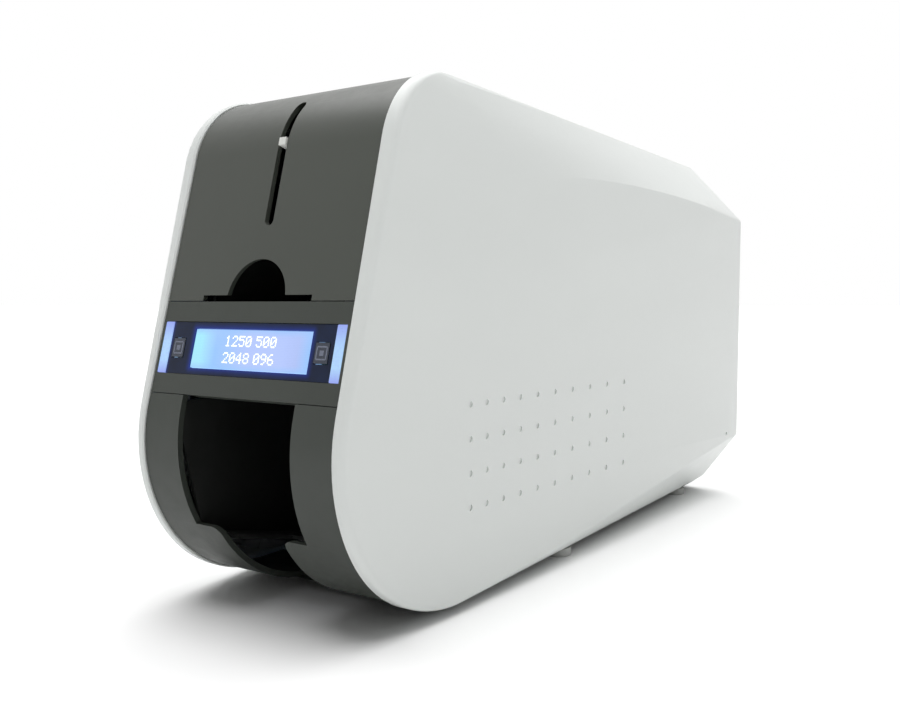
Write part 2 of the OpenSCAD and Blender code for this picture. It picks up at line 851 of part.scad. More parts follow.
// Bin floor slopes down to the back, parallel to the hopper
bin_top = sill_z - 5;
bin_rim = bezel_z - 2.8;
bin_front = [belly_r + 1.5 - sqrt(pow(belly_r - rim_proud - bezel_t, 2)
                                  - pow(belly_z - bin_top + 2 * bin_wall, 2)), bin_top];
bin_slope = 12.5;
bin_len = (bin_d - bin_front[0]) / cos(bin_slope);
module output_bin() {
    wall_x = mouth_x + 0.3;
    color("black")
        difference() {
            union() {
                // Floor
                along_x(-wall_x - bin_wall, wall_x + bin_wall)
                    translate([fy(bin_front[0]), bin_front[1]])
                        rotate(-bin_slope)
                            translate([0, -bin_wall])
                                square([bin_len, bin_wall]);
                // Sides
                both_sides()
                    along_x(wall_x, wall_x + bin_wall)
                        intersection() {
                            polygon(outline(rim_proud + bezel_t + 0.3));
                            polygon([
                                [fy(bin_front[0]) - 6, bin_front[1] - bin_wall + 1.3],
                                [fy(bin_d) + bin_wall,
                                 bin_front[1] - bin_wall - (bin_d + bin_wall - bin_front[0])
                                 * tan(bin_slope)],
                                [fy(bin_d) + bin_wall, bin_rim - 8],
                                [fy(60), bin_rim],
                                [fy(0), bin_rim]]);
                        }
                // Back
                along_x(-wall_x - bin_wall, wall_x + bin_wall)
                    translate([fy(bin_d), bin_front[1] - bin_len * sin(bin_slope) - bin_wall])
                        square([bin_wall, bin_rim - 8 - bin_front[1] + bin_len * sin(bin_slope)
                                + bin_wall]);
                // Tabs on the frame plates
                both_sides()
                    for (d = [50, 88])
                        translate([wall_x + bin_wall - 0.3, fy(d), 60])
                            cube([plate_in - wall_x - bin_wall + 0.3, 10, 6]);
            }
            // Finger gap in the floor
            translate([-gap_x, fy(0), 0])
                cube([2 * gap_x, 52, sill_z]);
        }
}

module hopper_tray() {
    slot_half = 4.5;
    color("#2b2d30")
        on_hopper()
            difference() {
                union() {
                    // Floor
                    translate([-tray_out, 0, -hopper_wall])
                        cube([2 * tray_out, tray_l + 2, hopper_wall]);
                    // Sides
                    for (x = [-tray_out, tray_x])
                        translate([x, 2, -0.5])
                            cube([hopper_wall, tray_l, stack_h + 0.5]);
                    // Back wall above the card gate
                    translate([-tray_out, tray_l, 1.4])
                        cube([2 * tray_out, hopper_wall, stack_h - 1.4]);
                    // Rod lugs and tabs on the frame plates
                    both_sides() {
                        for (z = [-hopper_wall, stack_h - 3])
                            translate([tray_out - 0.5, rod_y - 5, z])
                                cube([plate_in - tray_out + 0.5, 10, hopper_wall]);
                        for (y = [12, tray_l - 14])
                            translate([tray_out - 0.5, y, stack_h / 2])
                                cube([plate_in - tray_out + 0.5, 8, 4]);
                    }
                }
                // Window for the pick roller
                translate([-12, pick_y - pick_r - 1, -hopper_wall - 1])
                    cube([24, 2 * pick_r + 2, hopper_wall + 2]);
                // Slots for the arms of the card weight
                both_sides() {
                    translate([tray_x - 1, rod_y - slot_half, 1])
                        cube([hopper_wall + 1.6, 2 * slot_half, stack_h - 6]);
                    translate([rod_x, rod_y, -hopper_wall - 1])
                        cylinder(d = rod_dia, h = stack_h + 6, $fn = 48);
                }
            }
}

module guide_rods() {
    color("silver")
        on_hopper()
            both_sides()
                translate([rod_x, rod_y, -hopper_wall])
                    cylinder(d = rod_dia, h = stack_h - 1, $fn = 48);
}

module card_weight() {
    half = card_w / 2 - 0.5;
    nose_w = slit_w - 0.9;
    nose_h = 3.2;
    nose_y = (face_d - hopper_at) * cos(lean) + (hopper_z - face_z) * sin(lean);
    color("gainsboro")
        on_hopper()
            difference() {
                union() {
                    translate([-half, 3, weight_z])
                        cube([2 * half, card_l - 2, weight_t]);
                    // Post and pointer
                    translate([-4, 3, weight_z + weight_t - 0.5])
                        cube([8, 4, pointer_up - weight_t + 2.5]);
                    translate([-nose_w / 2, nose_y - 0.6, weight_z + pointer_up - nose_h / 2])
                        cube([nose_w, 4 - nose_y, nose_h]);
                    // Arms and collars
                    both_sides() {
                        translate([half - 0.5, rod_y - 3, weight_z])
                            cube([rod_x - half, 6, weight_t]);
                        translate([rod_x, rod_y, weight_z])
                            cylinder(r = collar_r, h = 8, $fn = 48);
                    }
                }
                both_sides()
                    translate([rod_x, rod_y, weight_z - 1])
                        cylinder(r = rod_dia / 2 + run, h = 10, $fn = 48);
            }
}

bores = [pick_at, exit_at, feed_at, platen_at, rear_at];
stand_at = [[print_d - 6, 50], [print_d + 96, 50], [print_d - 6, 136], [print_d + 96, 136]];
stand_len = 5;
plate_z = plate_top + taller;
module plate_blank() {
    along_x(plate_in, plate_out)
        intersection() {
            polygon(outline(rim_proud + bezel_t));
            union() {
                intersection() {
                    polygon(outline(rim_proud + bezel_t + 7));
                    translate([fy(0), foot_h + pan_t])
                        square([body_l - 173, plate_z - foot_h - pan_t]);
                }
                translate([fy(150), foot_h + pan_t])
                    square([body_l - 150, plate_z - foot_h - pan_t]);
                // Necks of the hinge ears
                for (d = [door_hinge_d, cover_hinge_d])
                    polygon([
                        [fy(d - 20), plate_z - 1], [fy(d - ear_r), hinge_z],
                        [fy(d + ear_r * 0.2), hinge_z - ear_r * 0.9],
                        [fy(d - 1), plate_z - 1]]);
            }
        }
    for (d = [door_hinge_d, cover_hinge_d])
        rod_x(plate_in, plate_out, [d, hinge_z], ear_r);
}

module frame_plate() {
    difference() {
        plate_blank();
        for (p = bores)
            rod_x(plate_in - 1, plate_out + 1, p, bush_dia / 2);
        for (p = [clean_at, idler_at])
            rod_x(plate_in - 1, plate_out + 1, p, idler_shaft_r + run);
        for (d = [door_hinge_d, cover_hinge_d])
            rod_x(plate_in - 1, plate_out + 1, [d, hinge_z], pin_dia / 2);
        rod_x(plate_in - 1, plate_out + 1, cam_at, shaft_r + run);
        rod_x(plate_in - 1, plate_out + 1, head_pivot, 2 + run);
        rod_x(plate_in - 1, plate_out + 1, gate_at, 1.5 + run);
        // Lightening holes
        for (p = [[238, 38], [272, 66], [316 + longer, 104], [150, 50]])
            rod_x(plate_in - 1, plate_out + 1, p, 14);
    }
}

module right_frame_plate() {
    color("lightslategray") {
        frame_plate();
        for (p = stand_at)
            rod_x(plate_out, plate_out + stand_len, p, 3);
    }
}

module left_frame_plate() {
    color("lightslategray")
        mirror([1, 0, 0])
            difference() {
                frame_plate();
                rod_x(plate_in - 1, plate_out + 1, motor_at, 6);
            }
}

tie_at = [[132, plate_z - 12], [330 + longer, plate_z - 12], [330 + longer, 24], [132, 24]];
module tie_bars() {
    color("silver")
        for (p = tie_at)
            rod_x(-plate_in, plate_in, p, tie_dia / 2);
}

module shaft(at, left_end) {
    rod_x(-left_end, plate_out + 2, at, shaft_r);
}

module tyre(at, r, half) {
    difference() {
        rod_x(-half, half, at, r);
        rod_x(-half - 1, half + 1, at, shaft_r);
    }
}

module pulley(at, r, x) {
    difference() {
        rod_x(-x - pulley_w, -x, at, r);
        rod_x(-x - pulley_w - 1, -x + 1, at, shaft_r);
    }
}

module pick_shaft() {
    color("silver") shaft(pick_at, outer_pulley_x + pulley_w + 1);
}

module pick_tyre() {
    color("#3a3a3a") tyre(pick_at, pick_r, 10.5);
}

module pick_pulley() {
    color("white") pulley(pick_at, pick_pulley_r, outer_pulley_x);
}

// Flat belt round a list of pulleys, each [place, radius]
module belt(x, wheels) {
    along_x(-x - pulley_w / 2 - belt_w / 2, -x - pulley_w / 2 + belt_w / 2)
        difference() {
            hull()
                for (q = wheels)
                    translate([fy(q[0][0]), q[0][1]])
                        circle(r = q[1] + belt_gap + belt_t, $fn = 64);
            hull()
                for (q = wheels)
                    translate([fy(q[0][0]), q[0][1]])
                        circle(r = q[1] + belt_gap, $fn = 64);
        }
}

module pick_belt() {
    color("#222222")
        belt(outer_pulley_x, [[pick_at, pick_pulley_r], [feed_at, pick_pulley_r]]);
}

module feed_shaft() {
    color("silver") shaft(feed_at, outer_pulley_x + pulley_w + 1);
}

module feed_tyre() {
    color("#3a3a3a") tyre(feed_at, feed_r, 25);
}

module feed_pulleys() {
    color("white") {
        pulley(feed_at, pulley_r, pulley_x);
        pulley(feed_at, pick_pulley_r, outer_pulley_x);
    }
}

// Pinch roller with a thin shaft
module pinch_roller(at, half) {
    rod_x(-half, half, at, idler_r);
    rod_x(-plate_out, plate_out, at, idler_shaft_r);
}

module cleaning_roller() {
    color("royalblue") pinch_roller(clean_at, 28);
}

module exit_roller() {
    color("#3a3a3a") {
        shaft(exit_at, pulley_x + pulley_w + 1);
        both_sides()
            rod_x(10, 22, exit_at, exit_r);
    }
}

module exit_pulley() {
    color("white") pulley(exit_at, exit_pulley_r, pulley_x);
}

module platen_shaft() {
    color("silver") shaft(platen_at, pulley_x + pulley_w + 1);
}

module platen_tyre() {
    color("#3a3a3a") tyre(platen_at, platen_r, 28);
}

module platen_pulley() {
    color("white") pulley(platen_at, platen_pulley_r, pulley_x);
}

module rear_shaft() {
    color("silver") shaft(rear_at, pulley_x + pulley_w + 1);
}

module rear_tyre() {
    color("#3a3a3a") tyre(rear_at, feed_r, 25);
}

module rear_pulley() {
    color("white") pulley(rear_at, pulley_r, pulley_x);
}

module rear_idler() {
    color("#3a3a3a") pinch_roller(idler_at, 25);
}

module main_motor() {
    color("dimgray")
        difference() {
            translate([-plate_in, fy(motor_at[0]) - motor_side / 2, motor_at[1] - motor_side / 2])
                cube([motor_len, motor_side, motor_side]);
            rod_x(-plate_in - 1, -plate_in + 14, motor_at, shaft_r + run);
        }
}

module motor_pulley() {
    color("white") {
        rod_x(-pulley_x - pulley_w, -pulley_x, motor_at, motor_pulley_r);
        rod_x(-pulley_x - 1, -plate_in + 12, motor_at, shaft_r);
    }
}

module drive_belt() {
    color("#222222")
        belt(pulley_x, [
            [exit_at, exit_pulley_r], [feed_at, pulley_r], [rear_at, pulley_r],
            [motor_at, motor_pulley_r]]);
}

module ribbon_cassette() {
    bar_z = spool_z + 16;
    color("seagreen")
        difference() {
            union() {
                both_sides() {
                    for (p = [take_at, supply_at]) {
                        rod_x(cheek_x, cheek_x + cheek_t, p, 9);
                        rod_x(cheek_x + cheek_t - 0.5, plate_in - 0.1, p, 5.5);
                        translate([cheek_x, fy(p[0]) - 5, p[1]])
                            cube([cheek_t, 10, bar_z - p[1] + 2]);
                    }
                    translate([cheek_x, fy(take_at[0]) - 5, bar_z - 4])
                        cube([cheek_t, supply_at[0] - take_at[0] + 10, 8]);
                }
                // Handle bars across the top
                for (d = [take_at[0] + 22, supply_at[0] - 27])
                    translate([-cheek_x - 0.5, fy(d), bar_z - 2])
                        cube([2 * cheek_x + 1, 6, 4]);
            }
            both_sides()
                for (p = [take_at, supply_at])
                    rod_x(cheek_x - 1, cheek_x + cheek_t + 2, p, journal_r + run);
        }
}

module spool(at) {
    difference() {
        union() {
            rod_x(-cheek_x + 0.5, cheek_x - 0.5, at, core_r);
            rod_x(-cheek_x - cheek_t - 0.5, cheek_x + cheek_t + 0.5, at, journal_r);
        }
        rod_x(-cheek_x - cheek_t - 1, cheek_x + cheek_t + 1, at, journal_r - 1.5);
    }
}

module supply_spool() {
    color("ivory") spool(supply_at);
}

module take_up_spool() {
    color("ivory") spool(take_at);
}

module supply_roll() {
    color("darkorange")
        difference() {
            rod_x(-ribbon_w / 2, ribbon_w / 2, supply_at, roll_full_r);
            rod_x(-ribbon_w / 2 - 1, ribbon_w / 2 + 1, supply_at, core_r);
        }
}

web_low = [[print_d - 7, web_z], [print_d + 7, web_z]];
module ribbon_web() {
    a = touch(take_at, core_r + 0.4 + web_t, web_low[0], -1);
    b = touch(supply_at, roll_full_r + 0.4 + web_t, web_low[1], 1);
    pts = [a, web_low[0], web_low[1], b];
    up = [for (p = pts) [fy(p[0]), p[1] + web_t / 2]];
    down = [for (i = [3:-1:0]) [fy(pts[i][0]) + (i < 2 ? -web_t : web_t) / 2,
                                pts[i][1] - web_t / 2]];
    color("gold")
        along_x(-ribbon_w / 2, ribbon_w / 2)
            polygon(concat(up, down));
}

module head_bracket() {
    bar_d = print_d - 5;
    color("silver") {
        both_sides() {
            along_x(plate_in - 4, plate_in - 2)
                polygon([
                    [fy(head_pivot[0]) - 5, head_pivot[1] - 4],
                    [fy(bar_d), head_z + 5],
                    [fy(bar_d + 11), head_z + 5],
                    [fy(bar_d + 11), arm_top],
                    [fy(cam_at[0] - 8), arm_top],
                    [fy(head_pivot[0]) - 5, head_pivot[1] + 4]]);
            rod_x(plate_in - 2.5, plate_out, head_pivot, 2);
            rod_x(plate_in - 2, plate_in - 0.4, head_pivot, 4);
        }
        translate([-plate_in + 2.5, fy(bar_d), head_z + 5])
            cube([2 * plate_in - 5, 10, 9]);
    }
}

module print_head() {
    color("sienna") {
        translate([-ribbon_w / 2, fy(print_d - 5), head_z + 1.5])
            cube([ribbon_w, 10, 3.5]);
        translate([-ribbon_w / 2, fy(print_d - 1), head_z])
            cube([ribbon_w, 2, 2]);
    }
}

module camshaft() {
    color("ivory") {
        rod_x(-plate_out - 1, plate_out + 1, cam_at, shaft_r);
        both_sides()
            rod_x(plate_in - 4, plate_in - 2, [cam_at[0], cam_at[1] + cam_throw], cam_r);
    }
}

module card_gate() {
    color("#2b2d30") {
        rod_x(-plate_out, plate_out, gate_at, 1.5);
        rod_x(-30, 30, gate_at, 2.4);
        along_x(-26, 26)
            polygon([
                [fy(gate_at[0]), gate_at[1] - 0.8], [fy(gate_at[0]), gate_at[1] + 2.2],
                [fy(gate_at[0] - 12), gate_at[1] + 3.4],
                [fy(gate_at[0] - 12), gate_at[1] + 2.6]]);
    }
}

board_x = plate_out + stand_len;
module main_board() {
    d0 = stand_at[0][0] - 6;
    d1 = stand_at[1][0] + 6;
    z0 = stand_at[0][1] - 6;
    z1 = stand_at[2][1] + 6;
    color("darkgreen") {
        translate([board_x, fy(d0), z0])
            cube([1.6, d1 - d0, z1 - z0]);
        // Processor, connectors and tall parts
        for (p = [[34, 40, 16, 16, 2], [70, 22, 10, 30, 9], [12, 60, 8, 22, 8],
                  [64, 64, 30, 8, 6], [88, 14, 12, 14, 12]])
            translate([board_x + 1.5, fy(d0 + p[0]), z0 + p[1]])
                cube([p[4], p[2], p[3]]);
    }
}

module fan_frame() {
    y0 = panel_in - fan_depth;
    r = fan_side / 2 - 1.5;
    color("#1c1c1c") {
        difference() {
            translate([fan_x - fan_side / 2, y0, fan_z - fan_side / 2])
                cube([fan_side, fan_depth, fan_side]);
            translate([fan_x, y0 - 1, fan_z])
                rotate([-90, 0, 0])
                    cylinder(r = r, h = fan_depth + 2, $fn = 96);
        }
        // Spider and bearing pin
        for (a = [45, 135])
            translate([fan_x, y0 + 0.75, fan_z])
                rotate([0, a, 0])
                    cube([2 * r + 1, 1.5, 2.4], center = true);
        translate([fan_x, y0, fan_z])
            rotate([-90, 0, 0])
                cylinder(r = 6, h = 1.5, $fn = 48);
        translate([fan_x, y0, fan_z])
            rotate([-90, 0, 0])
                cylinder(r = 1.5, h = fan_depth - 3, $fn = 32);
    }
}

module fan_impeller() {
    y0 = panel_in - fan_depth + 2;
    h = fan_depth - 3;
    color("#303236")
        difference() {
            union() {
                translate([fan_x, y0, fan_z])
                    rotate([-90, 0, 0])
                        cylinder(r = 8, h = h, $fn = 48);
                for (i = [0:fan_blades - 1])
                    translate([fan_x, y0 + h / 2, fan_z])
                        rotate([0, i * 360 / fan_blades, 0])
                            translate([6, -0.5, -2.4])
                                rotate([32, 0, 0])
                                    cube([fan_side / 2 - 1.5 - 6 - 0.7, 1, 5.6]);
            }
            translate([fan_x, y0 - 1, fan_z])
                rotate([-90, 0, 0])
                    cylinder(r = 1.5 + run, h = h - 0.5, $fn = 32);
        }
}

module power_switch() {
    color("black") {
        translate([switch_at[0], panel_in - 4, switch_at[1]])
            rotate([0, 90, 0]) {
                translate([0, 0, -8.7])
                    cylinder(r = 1, h = 17.4, $fn = 32);
            }
        along_x(switch_at[0] - 6, switch_at[0] + 6)
            polygon([
                [panel_in - 6.5, switch_at[1] - 5], [panel_y - 0.2, switch_at[1] - 8.2],
                [panel_y - 1, switch_at[1]], [panel_y + 0.6, switch_at[1] + 8.2],
                [panel_in - 6.5, switch_at[1] + 5]]);
    }
}

module usb_port() {
    color("silver")
        difference() {
            translate([usb_at[0] - 6, panel_in - 14, usb_at[1] - 5.5])
                cube([12, 14 + bezel_t - 0.3, 11]);
            translate([usb_at[0] - 4.3, panel_in - 8, usb_at[1] - 4.1])
                cube([8.6, 20, 8.2]);
        }
}

module dc_inlet() {
    color("black") {
        difference() {
            union() {
                translate([dc_at[0] - 7, panel_in - 13, dc_at[1] - 7])
                    cube([14, 13, 14]);
                translate([dc_at[0], panel_in - 1, dc_at[1]])
                    rotate([-90, 0, 0])
                        cylinder(r = 5.5, h = 1 + bezel_t, $fn = 48);
            }
            translate([dc_at[0], panel_in - 9, dc_at[1]])
                rotate([-90, 0, 0])
                    cylinder(r = 3.2, h = 20, $fn = 48);
        }
        translate([dc_at[0], panel_in - 9.5, dc_at[1]])
            rotate([-90, 0, 0])
                cylinder(r = 1, h = 9, $fn = 32);
    }
}

foot_d = [170, body_l - 30];
module feet() {
    color("lightgray")
        for (d = foot_d)
            both_sides()
                translate([under - foot_dia / 2 - 0.2, fy(d), 0])
                    cylinder(d = foot_dia, h = foot_h, $fn = 48);
}

module roller_bushes() {
    color("goldenrod")
        for (p = bores)
            both_sides()
                difference() {
                    rod_x(plate_in - 0.8, plate_out + 0.6, p, bush_dia / 2);
                    rod_x(plate_in - 2, plate_out + 2, p, shaft_r + run);
                }
}

// Pan head with a cross recess
module screw_head(r, h) {
    difference() {
        union() {
            cylinder(r = r, h = h * 0.55, $fn = 32);
            translate([0, 0, h * 0.55])
                cylinder(r1 = r, r2 = r * 0.72, h = h * 0.45, $fn = 32);
        }
        for (a = [0, 90])
            rotate([0, 0, a])
                translate([-r * 0.55, -r * 0.13, h * 0.4])
                    cube([r * 1.1, r * 0.26, h]);
    }
}

module screws() {
    color("silver") {
        for (q = stand_at)
            translate([board_x + 1.6, fy(q[0]), q[1]])
                rotate([0, 90, 0])
                    screw_head(2.6, 1.8);
        both_sides()
            for (z = [150, 20])
                translate([plate_in - 8, panel_y, z])
                    rotate([-90, 0, 0])
                        rotate([0, 0, 30])
                            screw_head(2.8, 0.9);
    }
}

right_side_shell();
left_side_shell();
base_pan();
rear_panel();
top_cover();
hinge_pins();
hopper_door();
front_bezel();
display_window();
lcd_module();
light_bars();
left_button();
right_button();
display_board();
output_frame();
output_bin();
hopper_tray();
card_weight();
guide_rods();
left_frame_plate();
right_frame_plate();
tie_bars();
pick_shaft();
pick_tyre();
pick_pulley();
pick_belt();
feed_shaft();
feed_tyre();
feed_pulleys();
cleaning_roller();
exit_roller();
exit_pulley();
platen_shaft();
platen_tyre();
platen_pulley();
rear_shaft();
rear_tyre();
rear_pulley();
rear_idler();
main_motor();
motor_pulley();
drive_belt();
ribbon_cassette();
supply_spool();
supply_roll();
take_up_spool();
ribbon_web();
head_bracket();
print_head();
camshaft();
card_gate();
main_board();
fan_frame();
fan_impeller();
power_switch();
usb_port();
dc_inlet();
feet();
roller_bushes();
screws();
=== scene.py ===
"""Dressing for a desktop ID card printer: plastics, metals, rubbers, the lit display and the studio.

Every piece of the model comes in at its real place and size. This file gives each one its finish,
adds the figures on the screen and the signs on the keys, and sets the floor, the lamp, the light
of the sky and the camera.
"""

import json
import math

import bmesh
import bpy
from bpy.props import FloatProperty, FloatVectorProperty, IntProperty, PointerProperty
from bpy.types import Operator, Panel, PropertyGroup
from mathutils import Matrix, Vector


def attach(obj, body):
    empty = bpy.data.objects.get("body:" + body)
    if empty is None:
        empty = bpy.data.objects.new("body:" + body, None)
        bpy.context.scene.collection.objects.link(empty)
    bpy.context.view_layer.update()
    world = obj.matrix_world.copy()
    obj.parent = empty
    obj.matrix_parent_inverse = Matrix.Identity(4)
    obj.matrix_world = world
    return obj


bl_info = {
    "name": "Card Printer Dressing",
    "version": (1, 0, 0),
    "blender": (4, 5, 0),
    "location": "View3D > Sidebar > Card Printer",
    "description": "Finishes, small parts and studio for a desktop ID card printer",
    "category": "Object",
}

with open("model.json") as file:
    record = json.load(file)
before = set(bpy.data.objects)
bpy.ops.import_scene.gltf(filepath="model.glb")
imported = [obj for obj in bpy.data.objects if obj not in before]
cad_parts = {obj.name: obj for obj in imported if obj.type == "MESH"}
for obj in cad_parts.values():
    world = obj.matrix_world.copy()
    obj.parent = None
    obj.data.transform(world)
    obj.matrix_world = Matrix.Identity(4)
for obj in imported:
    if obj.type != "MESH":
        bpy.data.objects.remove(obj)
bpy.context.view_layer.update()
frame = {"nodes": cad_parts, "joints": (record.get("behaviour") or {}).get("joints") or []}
NODES = frame["nodes"]
MM = 0.001

# Directions into and up the leaning front; the keys travel straight into it
PRESS = next(j for j in frame["joints"] if j["name"] == "left_press")
INWARD = Vector(PRESS["axis"]).normalized()
UPWARD = Vector((0.0, -INWARD.z, INWARD.y))


# Node helpers


class Nodes:
    """A material's node tree, with short calls for the nodes that the finishes share."""

    def __init__(self, name):
        self.material = bpy.data.materials.new(name)
        self.material.use_nodes = True
        self.tree = self.material.node_tree
        self.tree.nodes.clear()
        self.output = self.add("OutputMaterial")
        self.shader = self.add("BsdfPrincipled")
        self.link(self.shader.outputs["BSDF"], self.output.inputs["Surface"])
        self.place = self.add("TexCoord").outputs["Object"]

    def add(self, kind, **settings):
        node = self.tree.nodes.new("ShaderNode" + kind)
        for key, value in settings.items():
            setattr(node, key, value)
        return node

    def link(self, source, target):
        self.tree.links.new(source, target)
        return source

    def set(self, **values):
        for key, value in values.items():
            socket = self.shader.inputs[key.replace("_", " ")]
            if key in ("Base_Color", "Emission_Color"):
                value = (*value, 1.0)
            socket.default_value = value

    def stretch(self, sx, sy, sz, tilt=(0.0, 0.0, 0.0)):
        node = self.add("Mapping")
        node.inputs["Scale"].default_value = (sx, sy, sz)
        node.inputs["Rotation"].default_value = tilt
        self.link(self.place, node.inputs["Vector"])
        return node.outputs["Vector"]

    def noise(self, size, detail=3.0, rough=0.5, at=None):
        node = self.add("TexNoise")
        node.inputs["Scale"].default_value = 1.0 / size
        node.inputs["Detail"].default_value = detail
        node.inputs["Roughness"].default_value = rough
        self.link(at or self.place, node.inputs["Vector"])
        return node.outputs["Fac"]

    def cells(self, size, output="Distance"):
        node = self.add("TexVoronoi", feature="F1")
        node.inputs["Scale"].default_value = 1.0 / size
        self.link(self.place, node.inputs["Vector"])
        return node.outputs[output]

    def span(self, value, low, high, to_low=0.0, to_high=1.0):
        node = self.add("MapRange")
        for key, number in (("From Min", low), ("From Max", high),
                            ("To Min", to_low), ("To Max", to_high)):
            node.inputs[key].default_value = number
        self.link(value, node.inputs["Value"])
        return node.outputs["Result"]

    def calc(self, a, b, operation="ADD"):
        node = self.add("Math", operation=operation)
        for socket, value in zip(node.inputs, (a, b)):
            if isinstance(value, (int, float)):
                socket.default_value = value
            else:
                self.link(value, socket)
        return node.outputs[0]

    def blend(self, fac, a, b):
        node = self.add("Mix", data_type="RGBA")
        for name, value in (("Factor", fac), ("A", a), ("B", b)):
            sockets = [s for s in node.inputs if s.name == name and s.enabled]
            if isinstance(value, (tuple, list)):
                sockets[0].default_value = (*value[:3], 1.0)
            elif isinstance(value, float):
                sockets[0].default_value = value
            else:
                self.link(value, sockets[0])
        return next(s for s in node.outputs if s.enabled)

    def ramp(self, fac, stops, stepped=False):
        node = self.add("ValToRGB")
        ramp = node.color_ramp
        ramp.interpolation = "CONSTANT" if stepped else "LINEAR"
        while len(ramp.elements) < len(stops):
            ramp.elements.new(0.5)
        for element, (at, colour) in zip(ramp.elements, stops):
            element.position = at
            element.color = (*colour, 1.0)
        self.link(fac, node.inputs["Fac"])
        return node.outputs["Color"]

    def bump(self, *layers):
        """Each layer is (height, strength, distance in metres)."""
        last = None
        for height, strength, distance in layers:
            node = self.add("Bump")
            node.inputs["Strength"].default_value = strength
            node.inputs["Distance"].default_value = distance
            self.link(height, node.inputs["Height"])
            if last:
                self.link(last, node.inputs["Normal"])
            last = node.outputs["Normal"]
        self.link(last, self.shader.inputs["Normal"])

    def rough(self, value, low, high):
        self.link(self.span(value, 0.3, 0.7, low, high), self.shader.inputs["Roughness"])

    def colour(self, value):
        self.link(value, self.shader.inputs["Base Color"])

    def axes(self):
        """The three coordinates of the point, each as an output."""
        split = self.add("SeparateXYZ")
        self.link(self.place, split.inputs["Vector"])
        return split.outputs

    def plane(self, across, up):
        """A flat pattern's coordinates."""
        node = self.add("CombineXYZ")
        self.link(across, node.inputs["X"])
        self.link(up, node.inputs["Y"])
        return node.outputs["Vector"]

    def front_axes(self):
        """Distances across and up the leaning front, in metres."""
        point = self.axes()
        rise = self.calc(self.calc(point["Y"], UPWARD.y, "MULTIPLY"),
                         self.calc(point["Z"], UPWARD.z, "MULTIPLY"))
        return point["X"], rise


def shade(colour, factor):
    """The colour made lighter or darker, kept between 0 and 1."""
    return tuple(max(0.0, min(1.0, c * factor)) for c in colour)


def moulded(name, colour, grain=0.35 * MM, height=0.02 * MM, rough=(0.42, 0.52), tone=0.04,
            specular=0.5, coat=0.0, scuffs=0.0):
    """Injection moulded plastic: spark-eroded grain, slow flow tone and faint handling marks."""
    flow_size, cloud_size, speck_size, scuff_size = 55 * MM, 7 * MM, 1.6 * MM, 9 * MM
    wave_size, wave_height = 3.5 * MM, 0.03 * MM
    n = Nodes(name)
    flow = n.noise(flow_size, 2.0, at=n.stretch(1.0, 0.45, 1.0))
    cloud = n.noise(cloud_size, 4.0, 0.6)
    body = n.blend(n.span(flow, 0.35, 0.65), shade(colour, 1.0 - tone), shade(colour, 1.0 + tone))
    speck = n.span(n.noise(speck_size, 2.0), 0.35, 0.75, 0.0, 0.5)
    body = n.blend(speck, body, shade(colour, 1.0 + 0.5 * tone))
    if scuffs:
        mark = n.noise(scuff_size, 6.0, 0.75, at=n.stretch(1.0, 2.2, 0.6, (0.3, 0.0, 0.5)))
        body = n.blend(n.span(mark, 0.66, 0.8, 0.0, scuffs), body, shade(colour, 1.5))
    n.colour(body)
    n.rough(cloud, *rough)
    n.bump((n.noise(wave_size, 2.0), 0.12, wave_height), (n.cells(grain), 0.35, height))
    n.set(Specular_IOR_Level=specular, Coat_Weight=coat, Coat_Roughness=0.12)
    return n.material


def ground_steel(name, colour, streak=(1.0, 1.0, 60.0), size=12 * MM, rough=(0.24, 0.4)):
    """Turned, ground or brushed metal with fine lines along one direction."""
    cloud_size, line_depth = 14 * MM, 0.02 * MM
    n = Nodes(name)
    lines = n.noise(size, 6.0, 0.7, at=n.stretch(*streak))
    cloud = n.noise(cloud_size, 3.0)
    n.colour(n.blend(n.span(cloud, 0.3, 0.7), shade(colour, 0.88), shade(colour, 1.06)))
    n.rough(lines, *rough)
    n.bump((lines, 0.15, line_depth))
    n.set(Metallic=1.0)
    return n.material


def zinc_sheet(name, colour):
    """Zinc plated sheet: pale spangles with slightly different sheen."""
    spangle_size, ripple_size, ripple_height = 7 * MM, 1.5 * MM, 0.02 * MM
    n = Nodes(name)
    value = n.add("SeparateColor")
    n.link(n.cells(spangle_size, "Color"), value.inputs["Color"])
    tone = value.outputs["Red"]
    n.colour(n.blend(tone, shade(colour, 0.85), shade(colour, 1.1)))
    n.rough(tone, 0.3, 0.46)
    n.bump((n.noise(ripple_size, 4.0), 0.1, ripple_height))
    n.set(Metallic=0.95)
    return n.material


def rubber(name, colour, grind=0.5 * MM, rough=(0.7, 0.85)):
    """Ground rubber, matt, with dust in its pores."""
    dust_size, dust_white, pore_depth = 6 * MM, 0.04, 0.05 * MM
    n = Nodes(name)
    haze = tuple(c + dust_white * (1.0 - c) for c in colour)
    grain = n.noise(grind, 4.0, 0.7)
    dust = n.noise(dust_size, 5.0, 0.7)
    n.colour(n.blend(n.span(dust, 0.45, 0.8, 0.0, 0.5), colour, haze))
    n.rough(grain, *rough)
    n.bump((grain, 0.4, pore_depth))
    return n.material


def belt_rubber(name, colour, pitch=2.0 * MM):
    """Timing belt: moulded ribs and a faint cord pattern."""
    bands_per_unit = 0.31
    rib_height, cord_size, cord_height = 0.25 * MM, 0.6 * MM, 0.03 * MM
    n = Nodes(name)
    wave = n.add("TexWave", wave_type="BANDS", bands_direction="Y")
    wave.inputs["Scale"].default_value = bands_per_unit / pitch
    wave.inputs["Distortion"].default_value = 0.0
    n.link(n.place, wave.inputs["Vector"])
    grain = n.noise(cord_size, 3.0)
    n.colour(n.blend(n.span(grain, 0.4, 0.8), colour, shade(colour, 1.9)))
    n.rough(grain, 0.55, 0.7)
    n.bump((wave.outputs["Fac"], 0.5, rib_height), (grain, 0.3, cord_height))
    return n.material


